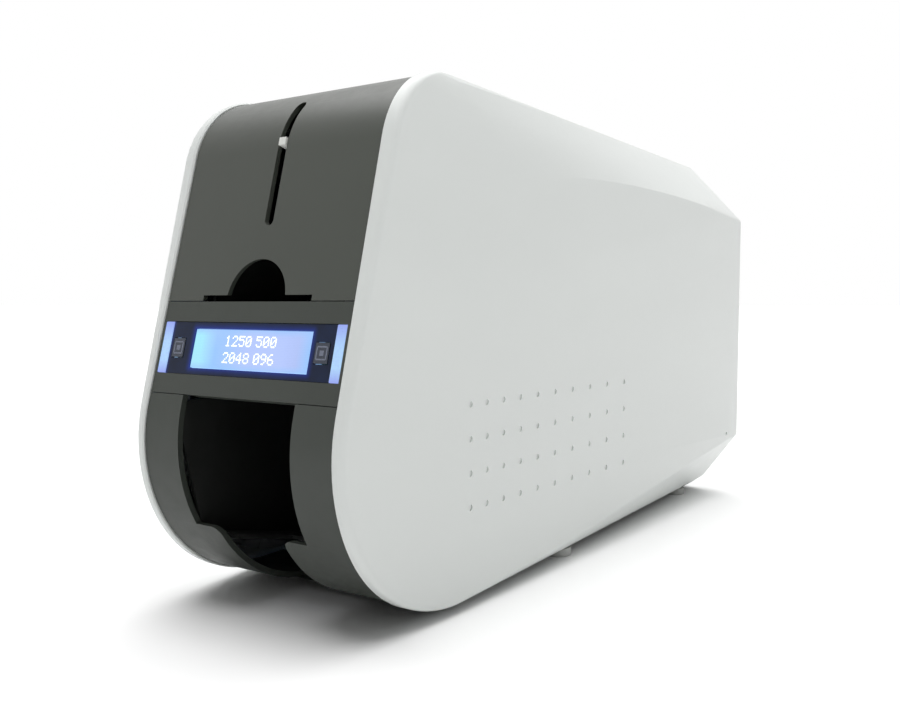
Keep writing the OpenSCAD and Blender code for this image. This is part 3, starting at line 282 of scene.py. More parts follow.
def circuit_board(name):
    """Green solder mask with copper tracks, pads and rows of vias."""
    track_pitch, via_pitch, copper_height = 4 * MM, 3.1 * MM, 0.05 * MM
    green, track_green, tin = (0.012, 0.075, 0.03), (0.03, 0.16, 0.06), (0.55, 0.5, 0.32)
    n = Nodes(name)
    point = n.axes()
    tracks = n.add("TexBrick")
    tracks.inputs["Scale"].default_value = 1.0 / track_pitch
    tracks.inputs["Mortar Size"].default_value = 0.06
    tracks.inputs["Mortar Smooth"].default_value = 0.2
    n.link(n.plane(point["Y"], point["Z"]), tracks.inputs["Vector"])
    track = tracks.outputs["Fac"]
    vias = n.cells(via_pitch)
    pad = n.span(vias, 0.1, 0.14, 1.0, 0.0)
    mask = n.blend(track, green, track_green)
    n.colour(n.blend(pad, mask, tin))
    n.link(n.span(pad, 0.0, 1.0, 0.0, 0.9), n.shader.inputs["Metallic"])
    n.rough(n.noise(2 * MM), 0.25, 0.4)
    n.bump((track, 0.3, copper_height), (pad, 0.3, copper_height))
    n.set(Coat_Weight=0.3, Coat_Roughness=0.15)
    return n.material


def ribbon_film(name, along="Y"):
    """Colour ribbon: yellow, magenta, cyan, black and clear panels, one card long each."""
    panel, start, crease_size, crease_height = 60 * MM, 310 * MM, 10 * MM, 0.05 * MM
    n = Nodes(name)
    step = n.calc(n.calc(n.axes()[along], start), 1.0 / (5 * panel), "MULTIPLY")
    part = n.calc(step, 0.0, "FRACT")
    panels = [(0.0, (0.85, 0.62, 0.02)), (0.2, (0.62, 0.03, 0.2)), (0.4, (0.02, 0.24, 0.5)),
              (0.6, (0.012, 0.012, 0.015)), (0.8, (0.5, 0.5, 0.46))]
    colour = n.ramp(part, panels, stepped=True)
    crease = n.noise(crease_size, 3.0, at=n.stretch(0.3, 3.0, 3.0))
    n.colour(n.blend(n.span(crease, 0.4, 0.7, 0.0, 0.25), colour, (0.9, 0.9, 0.88)))
    n.rough(crease, 0.1, 0.24)
    n.bump((crease, 0.2, crease_height))
    n.set(Coat_Weight=0.5, Coat_Roughness=0.06)
    return n.material


def dark_window(name, colour, screen, bars, halo, strength, reach=3.2 * MM):
    """Glossy tinted window over a navy print, lit blue next to the screen and the light bars."""
    bar_wide, cloud_size, dust_size, hair_size = 3.2 * MM, 12 * MM, 2.3 * MM, 5 * MM
    dust_grey, hair_depth = (0.2, 0.21, 0.24), 0.01 * MM
    x0, x1, u0, u1 = screen[:4]
    n = Nodes(name)
    across, rise = n.front_axes()
    side = n.calc(n.calc(across, (x0 + x1) / 2, "SUBTRACT"), 0.0, "ABSOLUTE")
    tall = n.calc(n.calc(rise, (u0 + u1) / 2, "SUBTRACT"), 0.0, "ABSOLUTE")
    beside = n.calc(n.calc(side, (x1 - x0) / 2, "SUBTRACT"), 0.0, "MAXIMUM")
    above = n.calc(n.calc(tall, (u1 - u0) / 2, "SUBTRACT"), 0.0, "MAXIMUM")
    away = n.calc(n.calc(n.calc(beside, 2.0, "POWER"), n.calc(above, 2.0, "POWER")), 0.5, "POWER")
    near = n.calc(n.span(away, 0.0, reach, 1.0, 0.0), 2.0, "POWER")
    bar_edge = (bars[1] - bars[0]) / 2 - bar_wide
    by_bar = n.calc(n.span(side, bar_edge - 0.7 * reach, bar_edge), 2.0, "POWER")
    lit = n.blend(n.calc(near, by_bar), (0.0, 0.0, 0.0), halo)
    n.link(lit, n.shader.inputs["Emission Color"])
    n.set(Emission_Strength=strength)
    cloud = n.noise(cloud_size, 3.0)
    dust = n.span(n.cells(dust_size), 0.0, 0.05, 1.0, 0.0)
    base = n.blend(n.span(cloud, 0.35, 0.65), shade(colour, 0.8), shade(colour, 1.3))
    n.colour(n.blend(n.calc(dust, 0.12, "MULTIPLY"), base, dust_grey))
    hair = n.noise(hair_size, 6.0, 0.8, at=n.stretch(1.0, 8.0, 0.3, (0.0, 0.6, 0.0)))
    n.rough(hair, 0.08, 0.2)
    n.bump((hair, 0.05, hair_depth))
    n.set(Coat_Weight=0.1, Coat_Roughness=0.04, Specular_IOR_Level=0.15)
    return n.material


def lit_screen(name, face, core, edge, flare, strength):
    """Backlit screen: pale lavender field, cyan at the left and along the rim, fine cell grid."""
    cloud_size, cell_pitch, unlit = 16 * MM, 0.62 * MM, (0.01, 0.012, 0.02)
    x0, x1, u0, u1 = face[:4]
    n = Nodes(name)
    x, up = n.front_axes()
    across = n.span(x, x0, x1)
    rise = n.span(up, u0, u1)
    cloud = n.span(n.noise(cloud_size, 2.0), 0.35, 0.65, 0.0, 1.0)
    field = n.ramp(across, [(0.0, flare), (0.07, flare), (0.2, edge), (0.5, core), (0.78, core),
                            (0.9, shade(core, 0.92)), (1.0, edge)])
    rim = n.calc(n.span(rise, 0.0, 0.16, 1.0, 0.0), n.span(rise, 0.84, 1.0, 0.0, 1.0))
    field = n.blend(n.calc(rim, 0.75, "MULTIPLY"), field, edge)
    field = n.blend(n.calc(cloud, 0.25, "MULTIPLY"), field, shade(core, 1.06))
    dots = n.add("TexBrick")
    dots.offset = 0.0
    dots.inputs["Scale"].default_value = 1.0 / cell_pitch
    dots.inputs["Mortar Size"].default_value = 0.05
    dots.inputs["Brick Width"].default_value = 1.0
    dots.inputs["Row Height"].default_value = 1.0
    n.link(n.plane(x, up), dots.inputs["Vector"])
    field = n.blend(n.calc(dots.outputs["Fac"], 0.22, "MULTIPLY"), field, shade(edge, 0.6))
    n.link(field, n.shader.inputs["Emission Color"])
    n.colour(n.blend(0.9, field, unlit))
    n.rough(n.noise(3 * MM), 0.1, 0.2)
    n.set(Emission_Strength=strength, Specular_IOR_Level=0.3)
    return n.material


def light_guide(name, face, colour, ends, strength):
    """Frosted light guide: brightest in its middle, bluer to both ends."""
    frost_size, frost_height, unlit = 1.2 * MM, 0.03 * MM, (0.02, 0.025, 0.03)
    n = Nodes(name)
    rise = n.span(n.front_axes()[1], *face[2:4])
    glow = n.ramp(rise, [(0.0, ends), (0.25, colour), (0.6, colour), (1.0, ends)])
    frost = n.noise(frost_size, 3.0)
    glow = n.blend(n.span(frost, 0.4, 0.7, 0.0, 0.3), glow, shade(ends, 1.05))
    n.link(glow, n.shader.inputs["Emission Color"])
    n.colour(n.blend(0.9, glow, unlit))
    n.rough(frost, 0.25, 0.4)
    n.bump((frost, 0.2, frost_height))
    n.set(Emission_Strength=strength)
    return n.material


def glowing_ink(name, colour, strength):
    """Ink that shines a little and is slightly uneven."""
    ink_grain = 0.9 * MM
    n = Nodes(name)
    uneven = n.noise(ink_grain, 2.0)
    tone = n.blend(n.span(uneven, 0.35, 0.65), shade(colour, 0.9), shade(colour, 1.05))
    n.link(tone, n.shader.inputs["Emission Color"])
    n.colour(tone)
    n.rough(uneven, 0.3, 0.45)
    n.set(Emission_Strength=strength)
    return n.material


# Mesh helpers

# Points nearer than the seam gap are joined, edges sharper than the bevel angle are broken and
# edges flatter than the smooth angle, in degrees, are shaded smooth
SEAM_GAP = 2e-6
BEVEL_ANGLE = math.radians(42.0)
SMOOTH_ANGLE = 32.0
FACE_WEIGHT = 60


def soft_edges():
    """Node group that shades smooth across every edge flatter than its angle."""
    group = bpy.data.node_groups.get("Soft edges")
    if group:
        return group
    group = bpy.data.node_groups.new("Soft edges", "GeometryNodeTree")
    face = group.interface
    face.new_socket("Geometry", in_out="INPUT", socket_type="NodeSocketGeometry")
    face.new_socket("Angle", in_out="INPUT", socket_type="NodeSocketFloat")
    face.new_socket("Geometry", in_out="OUTPUT", socket_type="NodeSocketGeometry")
    nodes, links = group.nodes, group.links
    start, end = nodes.new("NodeGroupInput"), nodes.new("NodeGroupOutput")
    clear = nodes.new("GeometryNodeRemoveAttribute")
    clear.inputs["Name"].default_value = "custom_normal"
    faces = nodes.new("GeometryNodeSetShadeSmooth")
    edges = nodes.new("GeometryNodeSetShadeSmooth")
    edges.domain = "EDGE"
    angle = nodes.new("GeometryNodeInputMeshEdgeAngle")
    less = nodes.new("FunctionNodeCompare")
    less.data_type = "FLOAT"
    less.operation = "LESS_THAN"
    links.new(angle.outputs["Unsigned Angle"], less.inputs["A"])
    links.new(start.outputs["Angle"], less.inputs["B"])
    links.new(start.outputs["Geometry"], clear.inputs["Geometry"])
    links.new(clear.outputs["Geometry"], faces.inputs["Geometry"])
    links.new(faces.outputs["Geometry"], edges.inputs["Geometry"])
    links.new(less.outputs["Result"], edges.inputs["Shade Smooth"])
    links.new(edges.outputs["Geometry"], end.inputs["Geometry"])
    return group


def soften(obj, angle, edge, segments, weigh):
    """Welds the seams, breaks the sharp edges and shades the rest smooth."""
    weld = obj.modifiers.new("Weld", "WELD")
    weld.merge_threshold = SEAM_GAP
    if edge:
        bevel = obj.modifiers.new("Broken edges", "BEVEL")
        bevel.width = edge
        bevel.segments = segments
        bevel.limit_method = "ANGLE"
        bevel.angle_limit = BEVEL_ANGLE
        bevel.use_clamp_overlap = True
    soft = obj.modifiers.new("Soft edges", "NODES")
    soft.node_group = soft_edges()
    for item in soft.node_group.interface.items_tree:
        if item.name == "Angle":
            soft[item.identifier] = math.radians(angle)
    if weigh:
        weighted = obj.modifiers.new("Weighted normals", "WEIGHTED_NORMAL")
        weighted.keep_sharp = True
        weighted.weight = FACE_WEIGHT


def finish(names, material, edge=0.0, angle=SMOOTH_ANGLE, segments=2, weigh=True):
    """Gives these pieces of the model one material, and breaks their edges."""
    for name in names:
        obj = NODES[name]
        obj.data.materials.clear()
        obj.data.materials.append(material)
        soften(obj, angle, edge, segments, weigh)


def front_of(name):
    """X and upward limits of a leaning piece, and the depth of its front face, in metres."""
    spots = [v.co for v in NODES[name].data.vertices]
    xs = [p.x for p in spots]
    ups = [p.dot(UPWARD) for p in spots]
    return min(xs), max(xs), min(ups), max(ups), min(p.dot(INWARD) for p in spots)


def screen_front():
    """As front_of, for the raised face of the screen alone."""
    depth = front_of("lcd_module")[4]
    behind = depth + 0.1 * MM
    spots = [v.co for v in NODES["lcd_module"].data.vertices if v.co.dot(INWARD) < behind]
    xs = [p.x for p in spots]
    ups = [p.dot(UPWARD) for p in spots]
    return min(xs), max(xs), min(ups), max(ups), depth


def on_slope(x, up, depth):
    """A point from its distance across, up and into the leaning front."""
    return Vector((x, 0.0, 0.0)) + UPWARD * up + INWARD * depth


def add_piece(name, work, material, body):
    """Turns the work into a piece that rides on the body."""
    mesh = bpy.data.meshes.new(name)
    bmesh.ops.recalc_face_normals(work, faces=work.faces)
    work.to_mesh(mesh)
    work.free()
    obj = bpy.data.objects.new(name, mesh)
    bpy.context.scene.collection.objects.link(obj)
    mesh.materials.append(material)
    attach(obj, body)
    return obj


def slab(work, x0, x1, u0, u1, depth, thick, chamfer=0.0):
    """A thin block on the leaning front, its face drawn in by the chamfer."""
    back = [work.verts.new(on_slope(x, u, depth + thick))
            for x, u in ((x0, u0), (x1, u0), (x1, u1), (x0, u1))]
    c = chamfer
    front = [work.verts.new(on_slope(x, u, depth))
             for x, u in ((x0 + c, u0 + c), (x1 - c, u0 + c), (x1 - c, u1 - c), (x0 + c, u1 - c))]
    work.faces.new(front)
    work.faces.new(back[::-1])
    for i in range(4):
        j = (i + 1) % 4
        work.faces.new((front[j], front[i], back[i], back[j]))


# Sizes and colours


def tint(name, description, default):
    """A colour setting."""
    return FloatVectorProperty(name=name, description=description, subtype="COLOR", size=3,
                               min=0, max=1, default=default)


def length(name, description, default, low, high):
    """A setting for a small length, in metres."""
    return FloatProperty(name=name, description=description, subtype="DISTANCE",
                         unit="LENGTH", min=low, max=high, default=default)


def level(name, description, default, high):
    """A setting for a plain amount from nothing up to its highest value."""
    return FloatProperty(name=name, description=description, subtype="FACTOR",
                         min=0.0, max=high, default=default)


def count(name, description, default):
    """A setting for a number that the screen shows."""
    return IntProperty(name=name, description=description, subtype="UNSIGNED",
                       min=0, max=99999999, default=default)


def spot(name, description, default):
    """A setting for a place in the studio."""
    return FloatVectorProperty(name=name, description=description, subtype="TRANSLATION",
                               unit="LENGTH", size=3, default=default)


def turn(name, description, default):
    """A setting for an angle, given in degrees."""
    return FloatProperty(name=name, description=description, subtype="ANGLE",
                         unit="ROTATION", default=math.radians(default))


class ShellSettings(PropertyGroup):
    colour: tint("Shell colour", "Colour of the two side shells", (0.755, 0.782, 0.764))
    grain: length("Shell grain", "Width of the moulded grain of the shells",
                  0.0006, 0.0001, 0.002)


class StripSettings(PropertyGroup):
    colour: tint("Strip colour", "Colour of the bezel, stacker frame and back panel",
                 (0.038, 0.044, 0.037))
    # The door and cover are of the strip's grey plastic; their lighter colour is painted light, for
    # the sheen and overhead light on their upward curve.
    door: tint("Door colour", "Colour of the door and cover, a shade lighter",
               (0.046, 0.052, 0.042))
    grain: length("Strip grain", "Width of the moulded grain of the strip",
                  0.0004, 0.0001, 0.002)
    edge: length("Broken edge", "Width of the broken edges of the strip", 0.0003, 0.0, 0.001)
    tray: tint("Tray colour", "Colour of the card bin and the hopper tray",
               (0.011, 0.012, 0.011))
    # The card weight is a real part; its pale pointer in the front slit also stands in for the
    # bright highlight there, so its paleness is partly a painted highlight.
    weight: tint("Card weight colour", "Colour of the card weight and its pointer",
                 (0.75, 0.76, 0.72))
    rod: tint("Guide rod colour", "Colour of the ground rods of the hopper", (0.6, 0.6, 0.6))


class DisplaySettings(PropertyGroup):
    window: tint("Window colour", "Print behind the glossy window", (0.005, 0.012, 0.04))
    halo: tint("Halo colour", "Light that spreads in the window", (0.02, 0.07, 0.75))
    keys: tint("Key colour", "Colour of the two keys", (0.03, 0.038, 0.06))
    signs: tint("Key sign colour", "Colour of the signs on the keys", (0.14, 0.155, 0.21))
    core: tint("Screen colour", "Colour of the lit field", (0.45, 0.56, 0.95))
    edge: tint("Screen rim colour", "Colour of the lit field near its rim", (0.3, 0.55, 0.95))
    flare: tint("Screen lamp colour", "Colour next to the lamp at the screen's left",
                (0.36, 0.82, 0.95))
    figures: tint("Figure colour", "Colour of the numbers on the screen", (0.86, 0.88, 1.0))
    bar: tint("Light bar colour", "Colour of the light bars in the middle", (0.39, 0.62, 0.9))
    bar_end: tint("Light bar end colour", "Colour of the light bars at their ends",
                  (0.27, 0.34, 0.8))
    glow: level("Glow", "Brightness of the screen and bars", 0.95, 4.0)
    upper_count: count("Upper number", "Plain number on the upper row", 1250500)
    lower_count: count("Lower number", "Plain number on the lower row", 2048096)
    dot: length("Dot size", "Side of one dot of a figure", 0.00062, 0.0002, 0.001)


class WorksSettings(PropertyGroup):
    sheet: tint("Sheet colour", "Colour of the plated frame plates", (0.5, 0.52, 0.55))
    steel: tint("Shaft colour", "Colour of the turned shafts and bars", (0.58, 0.58, 0.57))
    bronze: tint("Bush colour", "Colour of the sintered bushes", (0.5, 0.33, 0.15))
    tread: tint("Roller colour", "Colour of the rubber rollers", (0.035, 0.036, 0.038))
    tacky: tint("Cleaning roller colour", "Colour of the tacky cleaning roller",
                (0.03, 0.12, 0.5))
    belt: tint("Belt colour", "Colour of the timing belts", (0.02, 0.02, 0.021))
    natural: tint("Pulley colour", "Colour of the pulleys, spools and cams",
                  (0.72, 0.7, 0.62))
    motor: tint("Motor colour", "Colour of the motor's enamel", (0.02, 0.02, 0.022))
    cassette: tint("Cassette colour", "Colour of the ribbon cassette", (0.03, 0.2, 0.11))
    head: tint("Print head colour", "Colour of the print head's glaze", (0.2, 0.1, 0.05))


class ElectricsSettings(PropertyGroup):
    black: tint("Fan colour", "Colour of the fan, the switch and the power inlet",
                (0.012, 0.012, 0.013))
    socket: tint("Socket colour", "Colour of the data socket's shield", (0.62, 0.62, 0.6))
    foot: tint("Foot colour", "Colour of the rubber feet", (0.55, 0.56, 0.54))
    screw: tint("Screw colour", "Colour of the screws", (0.55, 0.55, 0.55))


class StudioSettings(PropertyGroup):
    camera_place: spot("Camera place", "Where the camera stands", (0.2521, -0.4191, 0.1271))
    camera_turn: turn("Camera turn", "Turn of the view from straight ahead to the left", 33.28)
    camera_dip: turn("Camera dip", "Dip of the view below the level", 3.62)
    lens: FloatProperty(
        name="Lens", description="Focal length for a sensor 36 mm wide", subtype="NONE",
        min=10.0, max=200.0, default=35.71)
    sky: level("Sky light", "Even light from all round", 0.0, 3.0)
    zenith: level("Overhead light", "Light that the sky gains towards the zenith", 0.5, 3.0)
    key: level("Key light", "Broad lamp high up behind the printer", 2.95, 5.0)
    key_place: spot("Key light place", "Where the key light shines from", (-0.12, 0.25, 2.0))
    key_spread: turn("Key light spread", "How wide the key light looks from the printer", 72.0)
    floor: level("Floor tone", "How light the floor is", 0.95, 1.0)
    floor_seen: level("Floor tone in view", "How light the floor looks to the camera",
                      1.04, 2.0)


SETTINGS = (("printer_shell", ShellSettings), ("printer_strip", StripSettings),
            ("printer_display", DisplaySettings), ("printer_works", WorksSettings),
            ("printer_electrics", ElectricsSettings), ("printer_studio", StudioSettings))


# Operators


class CARDPRINTER_OT_shells(Operator):
    """Finish the two white side shells"""

    bl_idname = "cardprinter.shells"
    bl_label = "Side shells"

    def execute(self, context):
        s = context.scene.printer_shell
        white = moulded("White plastic", tuple(s.colour), s.grain, 0.012 * MM, (0.3, 0.38),
                        tone=0.012, specular=0.45)
        crease = 12.0
        finish(("right_side_shell", "left_side_shell"), white, angle=crease, weigh=False)
        return {"FINISHED"}


class CARDPRINTER_OT_strip(Operator):
    """Finish the grey strip: door, cover, bezel, stacker frame, back panel and base"""

    bl_idname = "cardprinter.strip"
    bl_label = "Grey strip"

    def execute(self, context):
        s = context.scene.printer_strip
        # A lighter copy of the strip plastic: painted sheen and overhead light on the door and
        # cover.
        door = moulded("Door plastic with painted sheen", tuple(s.door), s.grain, 0.015 * MM, (0.34, 0.42),
                       tone=0.04, scuffs=0.04)
        finish(("hopper_door", "top_cover"), door, edge=s.edge)
        grey = moulded("Strip plastic", tuple(s.colour), s.grain, 0.02 * MM, (0.42, 0.52),
                       tone=0.05, specular=0.4, scuffs=0.05)
        finish(("front_bezel", "output_frame"), grey, edge=s.edge)
        finish(("rear_panel",), grey, weigh=False)
        # The base is the strip plastic darkened to 0.8: painted shade for the shadow under the body.
        base = moulded("Base plastic with painted shade", shade(s.colour, 0.8), s.grain, 0.03 * MM, (0.5, 0.62))
        finish(("base_pan",), base, edge=0.3 * MM)
        return {"FINISHED"}


# Dots of the figures 0 to 9, five wide and seven high: one number for each row from the top
FIGURES = ((14, 17, 19, 21, 25, 17, 14), (4, 12, 4, 4, 4, 4, 14), (14, 17, 1, 2, 4, 8, 31),
           (31, 2, 4, 2, 1, 17, 14), (2, 6, 10, 18, 31, 2, 2), (31, 16, 30, 1, 1, 17, 14),
           (6, 8, 16, 30, 17, 17, 14), (31, 1, 2, 4, 8, 8, 8), (14, 17, 17, 14, 17, 17, 14),
           (14, 17, 17, 15, 1, 2, 12))
FIGURE_COLUMNS, FIGURE_ROWS = 5, 7
FIGURE_STEP = FIGURE_COLUMNS + 1
# A row has a gap, in dots, after its first group of figures
FIRST_GROUP, GROUP_GAP = 4, 3
# Share of its pitch that a dot fills
DOT_FILL = 0.86
# How thick the figures are, and how far they and the key signs stand out
FIGURE_THICK, PROUD = 0.05 * MM, 0.06 * MM
# Brightness of the figures and of the key signs, whose glow is painted light, and the halo's share
# of the screen's glow
FIGURE_GLOW, SIGN_GLOW, HALO_SHARE = 0.95, 0.1, 0.3


def row_width(number, pitch):
    """Width of a number with the gap after its first group of figures."""
    return (FIGURE_STEP * len(str(number)) + GROUP_GAP - 1) * pitch


def number_row(work, number, pitch, x, up, depth):
    """Sets a number as square dots, its first figure at x and its top at up."""
    for place, figure in enumerate(str(number)):
        left = x + (place * FIGURE_STEP + (GROUP_GAP if place >= FIRST_GROUP else 0)) * pitch
        for row, bits in enumerate(FIGURES[int(figure)]):
            for column in range(FIGURE_COLUMNS):
                if bits >> (FIGURE_COLUMNS - 1 - column) & 1:
                    x0 = left + column * pitch
                    u1 = up - row * pitch
                    slab(work, x0, x0 + DOT_FILL * pitch, u1 - DOT_FILL * pitch, u1, depth,
                         FIGURE_THICK)


def key_sign(work, key):
    """A square outline round a filled square, in the middle of a key."""
    x0, x1, u0, u1, front = front_of(key)
    x, u = (x0 + x1) / 2, (u0 + u1) / 2
    outer_share, inner_share, half_line = 0.36, 0.1512, 0.275 * MM
    outer, inner = outer_share * (x1 - x0), inner_share * (x1 - x0)
    top, thick, chamfer = front - PROUD, 0.07 * MM, 0.05 * MM
    for dx, du, wide, high in ((0, outer, outer, half_line), (0, -outer, outer, half_line),
                               (outer, 0, half_line, outer), (-outer, 0, half_line, outer)):
        slab(work, x + dx - wide, x + dx + wide, u + du - high, u + du + high, top, thick)
    slab(work, x - inner, x + inner, u - inner, u + inner, top, thick, chamfer)


class CARDPRINTER_OT_display(Operator):
    """Finish the window, the lit screen, the light bars and the keys"""

    bl_idname = "cardprinter.display"
    bl_label = "Display"

    def execute(self, context):
        s = context.scene.printer_display
        face = screen_front()
        bars = front_of("light_bars")
        window = dark_window("Display window", tuple(s.window), face, bars, tuple(s.halo),
                             HALO_SHARE * s.glow)
        finish(("display_window",), window, edge=0.2 * MM)
        keys = moulded("Key plastic", tuple(s.keys), 0.3 * MM, 0.01 * MM, (0.2, 0.3))
        finish(("left_button", "right_button"), keys, edge=0.4 * MM, segments=3)
        screen = lit_screen("Lit screen", face, tuple(s.core), tuple(s.edge), tuple(s.flare),
                            s.glow)
        finish(("lcd_module",), screen)
        guide = light_guide("Light guide", bars, tuple(s.bar), tuple(s.bar_end), s.glow)
        finish(("light_bars",), guide, edge=0.25 * MM)
        x0, x1, u0, u1, depth = face
        figures = bmesh.new()
        top = depth - PROUD
        high = FIGURE_ROWS * s.dot
        room = (u1 - u0 - 2 * high) / 3
        for number, up in ((s.upper_count, u1 - room), (s.lower_count, u0 + room + high)):
            left = (x0 + x1 - row_width(number, s.dot)) / 2
            number_row(figures, number, s.dot, left, up, top)
        ink = glowing_ink("Screen figures", tuple(s.figures), FIGURE_GLOW)
        add_piece("screen_figures", figures, ink, "chassis")
        # The faint glow of the key signs is painted light that makes them look paler.
        mark = glowing_ink("Key marks with painted glow", tuple(s.signs), SIGN_GLOW)
        for key, body in (("left_button", "left_key"), ("right_button", "right_key")):
            work = bmesh.new()
            key_sign(work, key)
            add_piece(key + "_mark", work, mark, body)
        return {"FINISHED"}


class CARDPRINTER_OT_trays(Operator):
    """Finish the card bin, the hopper, its weight and guide rods"""

    bl_idname = "cardprinter.trays"
    bl_label = "Bin and hopper"

    def execute(self, context):
        s = context.scene.printer_strip
        black = moulded("Tray plastic", tuple(s.tray), 0.5 * MM, 0.02 * MM, (0.38, 0.55),
                        tone=0.12, scuffs=0.1)
        finish(("output_bin", "hopper_tray", "card_gate"), black, edge=0.3 * MM)
        # Real card weight, whose pale pointer in the slit is partly a painted highlight.
        pale = moulded("Weight plastic with painted highlight", tuple(s.weight), 0.4 * MM, 0.01 * MM, (0.35, 0.45),
                       tone=0.03)
        finish(("card_weight",), pale, edge=0.3 * MM)
        rods = ground_steel("Ground rod", tuple(s.rod), (1.0, 1.0, 1.0), 1.2 * MM, (0.15, 0.28))
        finish(("guide_rods",), rods)
        return {"FINISHED"}


class CARDPRINTER_OT_works(Operator):
    """Finish the frame plates, shafts, rollers, pulleys and belts"""

    bl_idname = "cardprinter.works"
    bl_label = "Works"

    def execute(self, context):
        s = context.scene.printer_works
        sheet = zinc_sheet("Zinc plated sheet", tuple(s.sheet))
        finish(("left_frame_plate", "right_frame_plate", "head_bracket"), sheet, edge=0.2 * MM)
        turned = ground_steel("Turned steel", tuple(s.steel), (40.0, 1.0, 1.0), 10 * MM)
        finish(("pick_shaft", "feed_shaft", "platen_shaft", "rear_shaft", "tie_bars",
                "hinge_pins"), turned)
        bronze = ground_steel("Sintered bronze", tuple(s.bronze), (1.0, 1.0, 1.0), 0.8 * MM,
                              (0.35, 0.5))
        finish(("roller_bushes",), bronze)
        tread = rubber("Roller rubber", tuple(s.tread))
        finish(("pick_tyre", "feed_tyre", "platen_tyre", "rear_tyre", "rear_idler",
                "exit_roller"), tread)
        tacky = rubber("Cleaning roller", tuple(s.tacky), 1.5 * MM, (0.25, 0.4))
        finish(("cleaning_roller",), tacky)
        belt = belt_rubber("Timing belt", tuple(s.belt))
        finish(("pick_belt", "drive_belt"), belt)
        natural = moulded("Natural moulding", tuple(s.natural), 0.5 * MM, 0.02 * MM,
                          (0.35, 0.5), tone=0.05)
        finish(("pick_pulley", "feed_pulleys", "exit_pulley", "platen_pulley", "rear_pulley",
                "motor_pulley", "supply_spool", "take_up_spool", "camshaft"), natural,
               edge=0.2 * MM)
        motor = moulded("Motor enamel", tuple(s.motor), 1.2 * MM, 0.02 * MM, (0.25, 0.4))
        finish(("main_motor",), motor, edge=0.5 * MM)
        return {"FINISHED"}


class CARDPRINTER_OT_ribbon(Operator):
    """Finish the ribbon cassette, its film and the print head"""

    bl_idname = "cardprinter.ribbon"
    bl_label = "Ribbon and head"

    def execute(self, context):
        s = context.scene.printer_works
        green = moulded("Cassette plastic", tuple(s.cassette), 0.4 * MM, 0.02 * MM, (0.3, 0.45),
                        tone=0.06)
        finish(("ribbon_cassette",), green, edge=0.3 * MM)
        finish(("supply_roll",), ribbon_film("Wound film", "Z"))
        finish(("ribbon_web",), ribbon_film("Film web", "Y"))
        glaze = moulded("Head ceramic", tuple(s.head), 0.8 * MM, 0.005 * MM, (0.12, 0.22),
                        coat=0.6)
        finish(("print_head",), glaze, edge=0.2 * MM)
        return {"FINISHED"}


class CARDPRINTER_OT_electrics(Operator):
    """Finish the boards, the fan, the switch and the sockets"""

    bl_idname = "cardprinter.electrics"
    bl_label = "Electrics"

    def execute(self, context):
        s = context.scene.printer_electrics
        finish(("main_board", "display_board"), circuit_board("Circuit board"), edge=0.15 * MM)
        black = moulded("Fan plastic", tuple(s.black), 0.4 * MM, 0.02 * MM, (0.35, 0.5),
                        tone=0.1)
        finish(("fan_frame", "fan_impeller", "power_switch", "dc_inlet"), black, edge=0.25 * MM)
        steel = ground_steel("Socket steel", tuple(s.socket), (1.0, 1.0, 8.0), 3 * MM)
        finish(("usb_port",), steel, edge=0.15 * MM)
        return {"FINISHED"}


class CARDPRINTER_OT_fasteners(Operator):
    """Finish the feet and the screws"""

    bl_idname = "cardprinter.fasteners"
    bl_label = "Feet and screws"

    def execute(self, context):
        s = context.scene.printer_electrics
        finish(("feet",), rubber("Foot rubber", tuple(s.foot), 0.8 * MM, (0.5, 0.65)),
               edge=0.5 * MM)
        steel = ground_steel("Screw steel", tuple(s.screw), (1.0, 1.0, 1.0), 1.0 * MM,
                             (0.2, 0.35))
        finish(("screws",), steel, edge=0.2 * MM)
        return {"FINISHED"}


def floor_paint(tone, seen_tone):
    """Matt floor, lighter to the camera and to mirrors than to the light that it scatters."""
    cloud_size, darkest = 0.35, 0.985
    n = Nodes("Studio floor")
    ray = n.add("LightPath")
    direct = n.calc(n.calc(ray.outputs["Is Camera Ray"], ray.outputs["Is Glossy Ray"]),
                    ray.outputs["Is Transmission Ray"])
    paper = n.span(n.noise(cloud_size, 3.0), 0.3, 0.7, darkest, 1.0)
    value = n.calc(n.span(direct, 0.0, 1.0, tone, seen_tone), paper, "MULTIPLY")
    grey = n.add("CombineColor")
    for channel in ("Red", "Green", "Blue"):
        n.link(value, grey.inputs[channel])
    paint = n.add("BsdfDiffuse")
    n.link(grey.outputs["Color"], paint.inputs["Color"])
    n.link(paint.outputs["BSDF"], n.output.inputs["Surface"])
    return n.material


def lay_floor(material, size=30.0):
    """A wide floor at the height of the feet."""
    work = bmesh.new()
    bmesh.ops.create_grid(work, x_segments=1, y_segments=1, size=size)
    mesh = bpy.data.meshes.new("floor")
    work.to_mesh(mesh)
    work.free()
    mesh.materials.append(material)
    floor = bpy.data.objects.new("floor", mesh)
    bpy.context.scene.collection.objects.link(floor)


